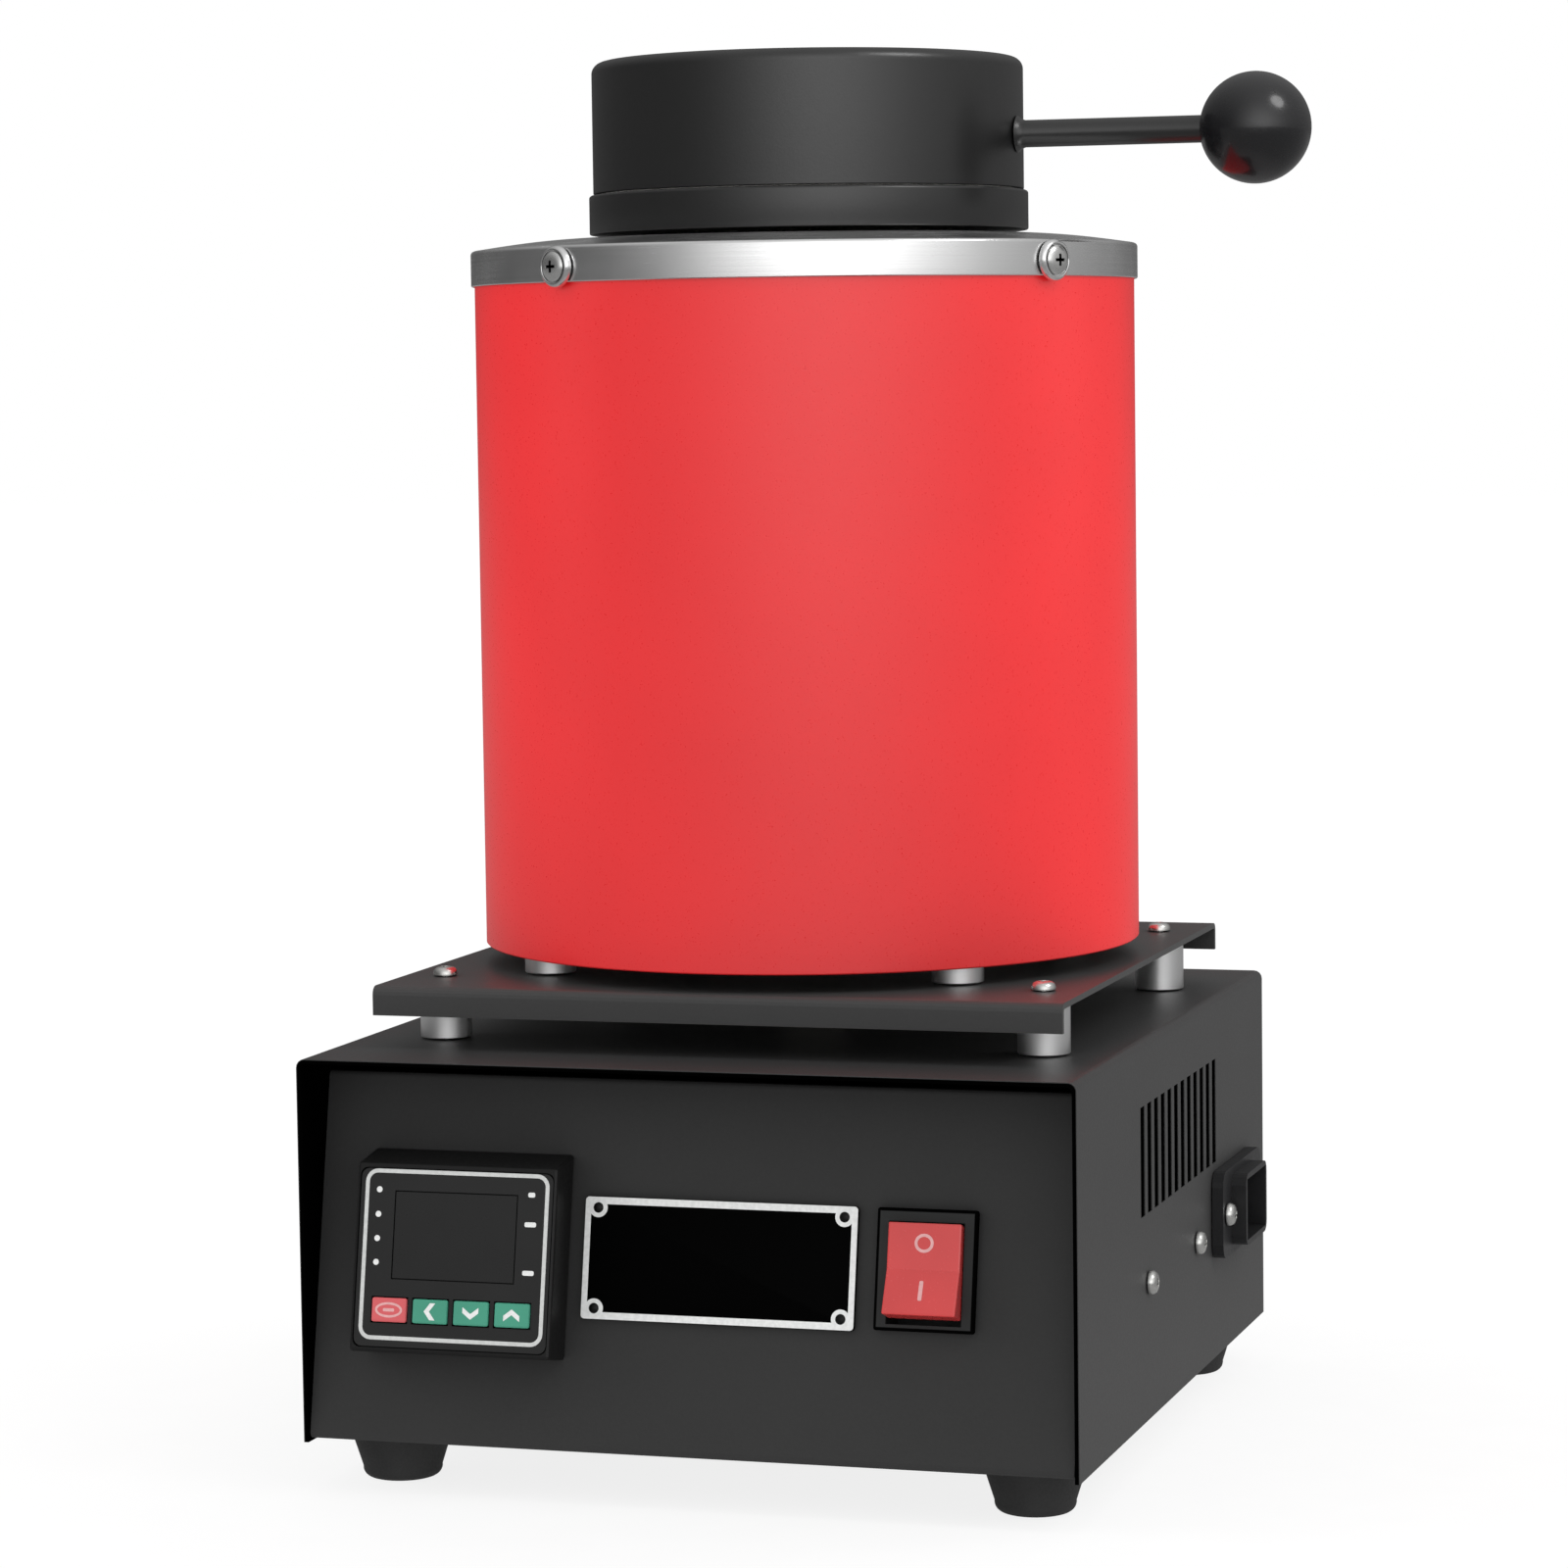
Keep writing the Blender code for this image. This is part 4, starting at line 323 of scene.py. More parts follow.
def ink(name, colour, roughness=0.5):
    """Screen-printed ink with slightly uneven cover."""
    n = Nodes(name)
    cover = n.remap(n.noise(900.0, 2.0), 0.35, 0.65, 0.0, 1.0)
    base = n.mix(cover, shade(colour, 0.88), colour)
    rough = n.remap(n.noise(500.0, 2.0), 0.3, 0.7, roughness - 0.08, roughness + 0.08)
    return n.set(Base_Color=base, Roughness=rough)


# Places on the front panel: from its middle, and up its slope from its foot.
CONTROLLER_X, CONTROLLER_HEIGHT = -0.0581, 0.0461
SWITCH_X, SWITCH_HEIGHT = 0.0602, 0.0486
# The rocker's lean at rest in degrees, and how far its axis lies behind the panel's front and below the
# switch's middle.
ROCKER_TILT, ROCKER_AXIS_DEPTH, ROCKER_DROP = 9.0, 0.0008, 0.0008
PLATE_X, PLATE_HEIGHT = 0.00725, 0.0483
# How far the controller's face stands out from the panel: gap and bezel, less the face's sink.
FACE_OUT = 0.0003 + 0.0120 - 0.0002
# The part of the switch's bezel inside its black outline of painted shade: x and height of its middle, width
# and height.
SWITCH_FIELD = (SWITCH_X, SWITCH_HEIGHT, 0.0253 - 0.0019, 0.0298 - 0.0019)

RED = (0.83, 0.012, 0.016)
MAT = {
    # painted shade: black on the cover's inner faces and cut edge
    "cover_paint": powder_coat(
        "cover_paint", (0.038, 0.038, 0.038), 0.46, sheen=0.35, depth=0.0001, dark=cover_inner_shade
    ),
    # painted shade: black on the chassis behind its front face
    "panel_paint": powder_coat(
        "panel_paint", (0.037, 0.037, 0.037), 0.55, speck=0.10, sheen=0.12, dark=chassis_back_shade
    ),
    "tray_paint": powder_coat(
        "tray_paint", (0.050, 0.050, 0.050), 0.40, depth=0.00003, speck=0.12, sheen=0.25
    ),
    "lid_paint": powder_coat(
        "lid_paint", (0.006, 0.006, 0.006), 0.32, grain=1500.0, depth=0.00004, sheen=0.8
    ),
    "red_powder_paint": powder_coat(
        "red_powder_paint", RED, 0.30, grain=900.0, speck=0.06, depth=0.00004, sheen=0.9
    ),
    "foot_rubber": rubber("foot_rubber"),
    "dark_plastic": moulded("dark_plastic", (0.014, 0.014, 0.015), 0.40, sheen=0.35),
    "controller_plastic": moulded("controller_plastic", (0.010, 0.010, 0.010), 0.42, sheen=0.2),
    # painted shade: a black outline round the switch's bezel
    "switch_plastic": moulded("switch_plastic", (0.020, 0.021, 0.021), 0.42, sheen=0.25, edge=SWITCH_FIELD),
    "face_plastic": moulded(
        "face_plastic", (0.018, 0.018, 0.018), 0.40, grain=4000.0, depth=0.000008, sheen=0.25
    ),
    "window_plastic": moulded(
        "window_plastic", (0.014, 0.014, 0.014), 0.30, grain=300.0, depth=0.000004, sheen=0.3
    ),
    "key_red": moulded("key_red", (0.66, 0.115, 0.125), 0.45, sheen=0.3),
    "key_green": moulded("key_green", (0.064, 0.32, 0.215), 0.45, sheen=0.3),
    "plate_black": moulded(
        "plate_black", (0.0006, 0.0006, 0.0006), 0.45, grain=3000.0, depth=0.00001, sheen=0.02
    ),
    "rocker_red": moulded("rocker_red", (0.62, 0.052, 0.052), 0.24, grain=2200.0, depth=0.000003, coat=0.5),
    "zinc_steel": metal("zinc_steel", (0.70, 0.70, 0.68), 0.26, fine=3500.0),
    # painted shade in the cross recesses of the screw heads
    "pan_steel": metal("pan_steel", (0.70, 0.70, 0.68), 0.26, fine=3500.0, pit=(0.00172, 0.0018)),
    "star_steel": metal("star_steel", (0.80, 0.80, 0.79), 0.26, fine=3500.0, pit=(0.00203, 0.0012)),
    "polished_steel": metal("polished_steel", (0.86, 0.86, 0.86), 0.22, fine=2600.0, depth=0.000003),
    "standoff_aluminium": metal("standoff_aluminium", (0.95, 0.95, 0.95), 0.34, fine=3000.0),
    "relay_plastic": moulded("relay_plastic", (0.012, 0.012, 0.012), 0.5, sheen=0.2),
    "white_ceramic": ceramic("white_ceramic", (0.78, 0.75, 0.69)),
    "ceramic_fibre": fibre("ceramic_fibre", (0.85, 0.84, 0.80)),
    "coil_wire": metal("coil_wire", (0.30, 0.27, 0.24), 0.5),
    "graphite": graphite("graphite"),
    "gloss_black": moulded(
        "gloss_black", (0.006, 0.006, 0.007), 0.24, grain=400.0, depth=0.000004, coat=0.3
    ),
    "ink_white": ink("ink_white", (0.86, 0.87, 0.86)),
    "ink_pink": ink("ink_pink", (0.80, 0.42, 0.42)),
    "ink_grey": ink("ink_grey", (0.64, 0.65, 0.64)),
    "rivet_black": moulded("rivet_black", (0.004, 0.004, 0.004), 0.3, sheen=0.2),
}


def add(name, mesh, body, slot, matrix=None, replaces=(), mat=None, crease=32.0):
    mesh.materials.append(MAT[mat or slot])
    mesh.shade_smooth()
    mesh.set_sharp_from_angle(angle=radians(crease))
    obj = bpy.data.objects.new(name, mesh)
    bpy.context.scene.collection.objects.link(obj)
    if matrix is not None:
        obj.matrix_world = matrix
    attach(obj, body)
    if replaces:
        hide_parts(*replaces)
    return obj


def mesh_from(name, build):
    shape = bmesh.new()
    build(shape)
    bmesh.ops.recalc_face_normals(shape, faces=shape.faces)
    mesh = bpy.data.meshes.new(name)
    shape.to_mesh(mesh)
    shape.free()
    return mesh


def lathe_mesh(name, points, steps, closed=False):
    """Turns the (radius, height) profile about Z. An open profile starts and ends on the axis."""

    def build(shape):
        rows = []
        for radius, height in points:
            if radius < 1e-7:
                rows.append([shape.verts.new((0, 0, height))])
                continue
            row = []
            for i in range(steps):
                angle = 2 * pi * i / steps
                row.append(shape.verts.new((radius * cos(angle), radius * sin(angle), height)))
            rows.append(row)
        pairs = list(zip(rows, rows[1:]))
        if closed:
            pairs.append((rows[-1], rows[0]))
        for one, two in pairs:
            for i in range(steps):
                j = (i + 1) % steps
                if len(one) == 1 and len(two) == 1:
                    break
                if len(one) == 1:
                    shape.faces.new((one[0], two[i], two[j]))
                elif len(two) == 1:
                    shape.faces.new((one[i], one[j], two[0]))
                else:
                    shape.faces.new((one[i], one[j], two[j], two[i]))

    return mesh_from(name, build)


def arc(centre_r, centre_z, radius, start, end, steps):
    points = []
    for i in range(steps + 1):
        angle = radians(start + (end - start) * i / steps)
        points.append((centre_r + radius * cos(angle), centre_z + radius * sin(angle)))
    return points


def rounded_outline(width, tall, corner, steps=6):
    points = []
    for side_x, side_z, start in ((1, 1, 0), (-1, 1, 90), (-1, -1, 180), (1, -1, 270)):
        for i in range(steps + 1):
            angle = radians(start + 90 * i / steps)
            points.append(
                (
                    side_x * (width / 2 - corner) + corner * cos(angle),
                    side_z * (tall / 2 - corner) + corner * sin(angle),
                )
            )
    return points


def plate_mesh(name, outlines, front, back, edge=0.0):
    """A flat plate between y = front and y = back. A second outline is a hole with as many points as
    the first."""

    def build(shape):
        outer = outlines[0]
        if len(outlines) == 1:
            rows = [(outer, back), (outer, front + edge)]
            if edge:
                rows.append((shrink(outer, edge * 0.3), front + edge * 0.3))
                rows.append((shrink(outer, edge), front))
            rings = [[shape.verts.new((x, y, z)) for x, z in points] for points, y in rows]
            shape.faces.new(rings[0])
            shape.faces.new(rings[-1])
            for one, two in zip(rings, rings[1:]):
                bridge(shape, one, two)
            return
        inner = outlines[1]
        rings = []
        for points, y in ((outer, back), (outer, front), (inner, front), (inner, back)):
            rings.append([shape.verts.new((x, y, z)) for x, z in points])
        for one, two in zip(rings, rings[1:] + rings[:1]):
            bridge(shape, one, two)

    return mesh_from(name, build)


def bridge(shape, one, two):
    count = len(one)
    for i in range(count):
        j = (i + 1) % count
        shape.faces.new((one[i], one[j], two[j], two[i]))


def shrink(points, amount):
    """The outline moved in by amount, for a convex outline about its own middle."""
    count = len(points)
    middle = (sum(x for x, _ in points) / count, sum(z for _, z in points) / count)
    result = []
    for x, z in points:
        dx = max(abs(x - middle[0]) - amount, 0.0)
        dz = max(abs(z - middle[1]) - amount, 0.0)
        new_x = middle[0] + (dx if x > middle[0] else -dx)
        new_z = middle[1] + (dz if z > middle[1] else -dz)
        result.append((new_x, new_z))
    return result


def panel_place(x, height, out=0.0):
    """A place on the leaning panel: x from its middle, height up the panel, and out from its face."""
    return PANEL @ Matrix.Translation((x, -out, height))


def cut(obj, mesh, matrix):
    """Cuts the mesh from the object for good."""
    cutter = bpy.data.objects.new("cutter", mesh)
    bpy.context.scene.collection.objects.link(cutter)
    cutter.matrix_world = matrix
    modifier = obj.modifiers.new("cut", "BOOLEAN")
    modifier.operation = "DIFFERENCE"
    modifier.solver = "EXACT"
    modifier.object = cutter
    bpy.context.view_layer.update()
    graph = bpy.context.evaluated_depsgraph_get()
    made = bpy.data.meshes.new_from_object(obj.evaluated_get(graph))
    obj.modifiers.clear()
    old = obj.data
    obj.data = made
    bpy.data.meshes.remove(old)
    bpy.data.objects.remove(cutter, do_unlink=True)
    made.shade_smooth()
    made.set_sharp_from_angle(angle=radians(32))


def make_barrel():
    radius = (BARREL_HIGH.x - BARREL_LOW.x) / 2
    sheet = 0.0010
    low, high = BARREL_LOW.z, BARREL_HIGH.z
    edge = 0.0003
    points = [
        (radius - edge, high),
        (radius, high - edge),
        (radius, low + edge),
        (radius - edge, low),
        (radius - sheet, low),
        (radius - sheet, high),
    ]
    shell = lathe_mesh("barrel", points, 192, closed=True)
    add("barrel", shell, "root", "red_powder_paint", MIDDLE, ["barrel_shell"])


def make_cap():
    low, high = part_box("top_cap")
    radius = (high.x - low.x) / 2
    sheet = 0.0006
    mouth = 0.0420
    flat = 0.0590
    bend = 0.0010
    rise = 0.0026
    top = high.z
    shoulder = top - rise
    start = radius - bend
    points = [(mouth, top - sheet), (mouth + 0.0002, top - 0.0001), (mouth + 0.0006, top), (flat, top)]
    for i in range(1, 12):
        along = i / 12
        fall = rise * (1 - cos(pi * along / 2))
        points.append((flat + (start - flat) * along, top - fall))
    points += arc(start, shoulder - bend, bend, 90, 0, 8)
    roll = 0.00025
    points += [(radius, low.z + roll), (radius - roll, low.z), (radius - sheet, low.z)]
    points += arc(start, shoulder - bend, bend - sheet, 0, 90, 6)
    for i in range(11, 0, -1):
        along = i / 12
        fall = rise * (1 - cos(pi * along / 2))
        points.append((flat + (start - flat) * along, top - sheet - fall))
    shell = lathe_mesh("cap", points, 192, closed=True)
    add("cap", shell, "root", "polished_steel", MIDDLE, ["top_cap"], crease=28)


def make_lid():
    low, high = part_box("lid_shell")
    radius = (high.x - low.x) / 2
    edge = 0.0030
    points = [(0, high.z)]
    points += arc(radius - edge, high.z - edge, edge, 90, 0, 10)
    points += [(radius, low.z + 0.0002), (radius - 0.0002, low.z), (radius - 0.0012, low.z)]
    points += [(radius - 0.0012, high.z - edge), (radius - edge, high.z - 0.0012), (0, high.z - 0.0012)]
    add("lid_drum", lathe_mesh("lid_drum", points, 160), "lid", "lid_paint", LID_MIDDLE, ["lid_shell"])

    low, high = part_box("lid_flange")
    radius = (high.x - low.x) / 2
    bore = 0.0430
    plate = low.z + 0.0030
    wall = radius - 0.0023
    points = arc(radius - 0.0008, high.z - 0.0008, 0.0008, 90, 0, 5)
    points += arc(radius - 0.0005, low.z + 0.0005, 0.0005, 0, -90, 4)
    points += [(bore, low.z), (bore, plate), (wall, plate), (wall, high.z)]
    ring = lathe_mesh("lid_ring", points, 160, closed=True)
    add("lid_ring", ring, "lid", "lid_paint", LID_MIDDLE, ["lid_flange"])

    axis = LID_MIDDLE.translation
    low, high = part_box("handle_rod")
    reach = 0.0035
    start = low.x - axis.x
    end = high.x - axis.x
    points = [(0, start), (0.0047, start), (0.0043, start + 0.0004), (0.0038, start + 0.0011)]
    points += [(reach, start + 0.0020), (reach, end), (0, end)]
    along_x = Matrix.Translation((axis.x, axis.y, (low.z + high.z) / 2)) @ Matrix.Rotation(pi / 2, 4, "Y")
    add("lid_rod", lathe_mesh("lid_rod", points, 40), "lid", "lid_paint", along_x, ["handle_rod"], crease=50)

    low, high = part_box("ball_knob")
    size = (high.z - low.z) / 2
    x = high.x - size - axis.x
    bore = reach + 0.0002
    points = arc(0, x, size, 90, degrees(asin(bore / size)) - 90, 60)
    points[0] = (0, x + size)
    points += [(bore, x - size + 0.0010), (bore, x - size + 0.0100), (0, x - size + 0.0100)]
    turned = Matrix.Translation((axis.x, axis.y, (low.z + high.z) / 2)) @ Matrix.Rotation(pi / 2, 4, "Y")
    ball = lathe_mesh("lid_ball", points, 96)
    add("lid_ball", ball, "lid", "gloss_black", turned, ["ball_knob"], crease=50)


def cross_mesh(length, width, depth):
    """A cutter for a cross recess, tapering to a point below."""

    def build(shape):
        half, thin = length / 2, width / 2
        outline = [
            (half, -thin),
            (half, thin),
            (thin, thin),
            (thin, half),
            (-thin, half),
            (-thin, thin),
            (-half, thin),
            (-half, -thin),
            (-thin, -thin),
            (-thin, -half),
            (thin, -half),
            (thin, -thin),
        ]
        top = [shape.verts.new((x, y, depth)) for x, y in outline]
        low = [shape.verts.new((x * 0.45, y * 0.6, -depth)) for x, y in outline]
        shape.faces.new(top)
        shape.faces.new(low)
        bridge(shape, low, top)

    return mesh_from("cross", build)


# Screw heads: radius, height, length of the recess, finish, and how the head swells from its edge, in
# pairs of a share of its radius and a share of its height.
PAN_CROWN = ((0.35, 0.985), (0.62, 0.92), (0.82, 0.78), (0.94, 0.55), (1.0, 0.28))
STAR_CROWN = ((0.30, 0.99), (0.55, 0.94), (0.75, 0.84), (0.92, 0.62), (1.0, 0.42))
PAN = (0.0031, 0.0022, 0.0034, "pan_steel", PAN_CROWN)
STAR = (0.0037, 0.0015, 0.0040, "star_steel", STAR_CROWN)
SHANK_RADIUS = 0.0015


def screw(name, node, matrix, kind, shank_end):
    """A screw with a cross recess, whose head seats at z = 0."""
    head, height, recess, mat, crown = kind
    points = [(0, height)] + [(head * share, height * up) for share, up in crown]
    points += [(head, 0.0001), (head - 0.0001, 0), (SHANK_RADIUS, 0)]
    points += [(SHANK_RADIUS, -shank_end), (0, -shank_end)]
    obj = add(name, lathe_mesh(name, points, 40), "root", "zinc_steel", matrix, [node], mat=mat, crease=40)
    cut(obj, cross_mesh(recess, 0.0010, 0.0012), matrix @ Matrix.Translation((0, 0, height - 0.0002)))


def make_small():
    for corner in ("front_left", "front_right", "back_left", "back_right"):
        for kind in ("lower", "upper"):
            node = kind + "_standoff_" + corner
            low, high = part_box(node)
            radius = (high.x - low.x) / 2
            bore = 0.0020
            edge = 0.0003
            points = [
                (bore, high.z),
                (radius - edge, high.z),
                (radius, high.z - edge),
                (radius, low.z + edge),
                (radius - edge, low.z),
                (bore, low.z),
            ]
            place = middle_of(low, high)
            name = kind + "_spacer_" + corner
            add(name, lathe_mesh(name, points, 48, closed=True), "root", "standoff_aluminium", place, [node])
        node = "tray_screw_" + corner
        low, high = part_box(node)
        seat = high.z - PAN[1]
        screw("screw_tray_" + corner, node, middle_of(low, high, seat), PAN, seat - low.z)
        node = "foot_" + corner
        low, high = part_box(node)
        top = (high.x - low.x) / 2
        bottom = 0.0101
        round_edge = 0.0024
        points = [(0, high.z), (top - 0.0003, high.z), (top, high.z - 0.0004)]
        points += arc(bottom - round_edge, round_edge, round_edge, 8, -90, 8)
        points += [(0.0040, 0), (0.0036, 0.0016), (0, 0.0016)]
        name = "rubber_foot_" + corner
        add(name, lathe_mesh(name, points, 56), "root", "foot_rubber", middle_of(low, high), [node])

    cap_low, cap_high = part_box("top_cap")
    rim = (cap_high.x - cap_low.x) / 2
    low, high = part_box("cup_washer_1")
    level = (low.z + high.z) / 2
    for i in range(4):
        angle = radians(-28.0 + 90.0 * i)
        facing = (
            MIDDLE
            @ Matrix.Translation((0, 0, level))
            @ Matrix.Rotation(angle, 4, "Z")
            @ Matrix.Translation((rim + 0.0003, 0, 0))
            @ Matrix.Rotation(pi / 2, 4, "Y")
        )
        cup = [(0.0041, 0.0007), (0.0041, 0.0015), (0.0042, 0.0016)]
        cup += [(0.0045, 0.0016), (0.0049, 0.00135), (0.0052, 0.0008), (0.0053, 0.0002), (0.0052, 0)]
        cup += [(0.0018, 0), (0.0018, 0.0007)]
        number = str(i + 1)
        name = "cup_" + number
        washer = lathe_mesh(name, cup, 48, closed=True)
        add(name, washer, "root", "polished_steel", facing, ["cup_washer_" + number])
        head = facing @ Matrix.Translation((0, 0, 0.0010))
        screw("screw_cap_" + number, "cap_screw_" + number, head, STAR, 0.0031)

    for node in ("relay_screw_front", "relay_screw_back", "inlet_screw_front", "inlet_screw_back"):
        low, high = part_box(node)
        seat = high.x - PAN[1]
        facing = (
            Matrix.Translation((seat, (low.y + high.y) / 2, (low.z + high.z) / 2))
            @ Matrix.Rotation(radians(25), 4, "X")
            @ Matrix.Rotation(pi / 2, 4, "Y")
        )
        screw("screw_" + node, node, facing, PAN, seat - low.x)


def make_inside():
    low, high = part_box("crucible")
    bottom, top = low.z, high.z
    wide, narrow, wall, floor, edge = 0.0380, 0.0320, 0.0060, 0.0090, 0.0010
    fillet = 0.0020
    points = [(0, bottom + floor), (narrow - wall - fillet, bottom + floor)]
    points += [(narrow - wall, bottom + floor + fillet), (wide - wall, top - edge)]
    points += [(wide - wall + edge * 0.3, top - edge * 0.3), (wide - wall + edge, top)]
    points += [(wide - edge, top), (wide - edge * 0.3, top - edge * 0.3), (wide, top - edge)]
    points += [(narrow, bottom + edge), (narrow - edge, bottom), (0, bottom)]
    add("crucible_cup", lathe_mesh("crucible_cup", points, 96), "root", "graphite", MIDDLE, ["crucible"])

    low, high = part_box("muffle")
    outer = (high.x - low.x) / 2
    bore = 0.0420
    floor, probe_radius, probe_depth = 0.0080, 0.0023, 0.0053
    points = [(0, low.z + floor), (bore, low.z + floor), (bore, high.z), (outer, high.z)]
    points += [(outer, low.z), (probe_radius, low.z)]
    points += [(probe_radius, low.z + probe_depth), (0, low.z + probe_depth)]
    add("muffle_cup", lathe_mesh("muffle_cup", points, 96), "root", "white_ceramic", MIDDLE, ["muffle"])


def disc(radius, steps=28):
    return [(radius * cos(2 * pi * i / steps), radius * sin(2 * pi * i / steps)) for i in range(steps)]


def ellipse(a, b, steps=36):
    return [(a * cos(2 * pi * i / steps), b * sin(2 * pi * i / steps)) for i in range(steps)]


def mark(name, outlines, place, body="root", slot="face_plastic", mat="ink_white", thick=INK):
    add(name, plate_mesh(name, outlines, -thick, 0.0), body, slot, place, mat=mat)


def make_controller_marks():
    ring_x, ring_height = CONTROLLER_X + 0.0001, CONTROLLER_HEIGHT + 0.0008
    outer = rounded_outline(0.0485, 0.0423, 0.0032)
    inner = rounded_outline(0.0485 - 0.0020, 0.0423 - 0.0020, 0.0022)
    mark("controller_line", [outer, inner], panel_place(ring_x, ring_height, FACE_OUT), mat="ink_grey")
    for i, rise in enumerate((0.0168, 0.0107, 0.0047, -0.0012)):
        dot = [disc(0.00075)]
        place = panel_place(CONTROLLER_X - 0.0204, CONTROLLER_HEIGHT + rise, FACE_OUT)
        mark("left_dot_" + str(i + 1), dot, place)
    for i, (rise, width) in enumerate(((0.0168, 0.0018), (0.0095, 0.0030), (-0.0024, 0.0030))):
        bar = [rounded_outline(width, 0.0012, 0.0004, 3)]
        place = panel_place(CONTROLLER_X + 0.0198, CONTROLLER_HEIGHT + rise, FACE_OUT)
        mark("right_bar_" + str(i + 1), bar, place)


def arrow_outline(spin):
    """A chevron that points down, turned by spin."""
    down = (
        (0.0021, 0.0001),
        (0.0, -0.0015),
        (-0.0021, 0.0001),
        (-0.0021, 0.0015),
        (0.0, -0.0001),
        (0.0021, 0.0015),
    )
    return [(a * cos(spin) - b * sin(spin), a * sin(spin) + b * cos(spin)) for a, b in down]


def key_marks():
    pitch = 0.0108
    height = CONTROLLER_HEIGHT - 0.0129
    out = FACE_OUT + 0.0005
    place = panel_place(CONTROLLER_X - 1.5 * pitch, height, out)
    oval = [ellipse(0.0036, 0.0019), ellipse(0.0030, 0.0013)]
    mark("set_oval", oval, place, "set_key", "key_red", "ink_pink")
    bar = [rounded_outline(0.0030, 0.0008, 0.0003, 3)]
    mark("set_bar", bar, place, "set_key", "key_red", "ink_pink")
    for i, (way, spin) in enumerate((("left", -pi / 2), ("down", 0.0), ("up", pi))):
        place = panel_place(CONTROLLER_X + (i - 0.5) * pitch, height, out)
        mark("arrow_" + way, [arrow_outline(spin)], place, way + "_key", "key_green")


def make_plate():
    thick = 0.0013
    wide, tall = 0.0705, 0.0304
    mesh = plate_mesh("plate", [rounded_outline(wide, tall, 0.0010, 4)], -thick + 0.0003, 0.0, 0.0001)
    add("plate", mesh, "root", "plate_black", panel_place(PLATE_X, PLATE_HEIGHT, 0.0003), ["nameplate"])
    out = thick
    outer = rounded_outline(wide - 0.0003, tall - 0.0003, 0.0009, 4)
    inner = rounded_outline(wide - 0.0033, tall - 0.0038, 0.0003, 4)
    mark("plate_border", [outer, inner], panel_place(PLATE_X, PLATE_HEIGHT, out), slot="plate_black")
    for i, (a, b) in enumerate(((-1, -1), (1, -1), (1, 1), (-1, 1))):
        x = PLATE_X + a * (wide / 2 - 0.0035)
        height = PLATE_HEIGHT + b * (tall / 2 - 0.0028)
        number = str(i + 1)
        place = panel_place(x, height, out)
        mark("plate_disc_" + number, [disc(0.0024)], place, slot="plate_black", thick=INK * 1.5)
        profile = [(0, 0.0005), (0.0007, 0.00042), (0.00120, 0.0002), (0.00135, 0), (0, 0)]
        dome = lathe_mesh("plate_rivet_" + number, profile, 24)
        facing = place @ Matrix.Rotation(pi / 2, 4, "X")
        add("plate_rivet_" + number, dome, "root", "plate_black", facing, mat="rivet_black")


def make_switch_marks():
    tilt = Matrix.Rotation(-radians(ROCKER_TILT), 4, "X")
    axis = PANEL @ Matrix.Translation((SWITCH_X, ROCKER_AXIS_DEPTH, SWITCH_HEIGHT - ROCKER_DROP)) @ tilt
    half, middle, end = 0.0113, 0.0055, 0.0071
    slope = atan2(end - middle, half)
    for name, height, outlines in (
        ("mark_off", 0.0064, [ellipse(0.00240, 0.00230), ellipse(0.00165, 0.00155)]),
        ("mark_on", -0.0052, [rounded_outline(0.0010, 0.0050, 0.0003, 3)]),
    ):
        out = middle + abs(height) * (end - middle) / half
        lean = slope if height > 0 else -slope
        place = axis @ Matrix.Translation((0, -out, height)) @ Matrix.Rotation(lean, 4, "X")
        mark(name, outlines, place, "rocker", "rocker_red", "ink_pink")


# The solids that stay as they are, and the finish of each.
KEPT = {
    "cover": "cover_paint",
    "chassis": "panel_paint",
    "tray": "tray_paint",
    "controller_housing": "controller_plastic",
    "controller_face": "face_plastic",
    "display_window": "window_plastic",
    "key_set": "key_red",
    "key_left": "key_green",
    "key_down": "key_green",
    "key_up": "key_green",
    "switch_body": "switch_plastic",
    "switch_rocker": "rocker_red",
    "inlet_socket": "dark_plastic",
    "solid_state_relay": "relay_plastic",
    "terminal_block": "white_ceramic",
    "barrel_floor": "zinc_steel",
    "insulation_floor": "ceramic_fibre",
    "insulation_sleeve": "ceramic_fibre",
    "heating_coil": "coil_wire",
    "thermocouple": "zinc_steel",
    "lead_sleeve": "white_ceramic",
    "lid_insulation": "ceramic_fibre",
    "pivot_bolt": "zinc_steel",
}


def finish_kept():
    for name, mat in KEPT.items():
        data = NODES[name].data
        data.materials.clear()
        data.materials.append(MAT[mat])


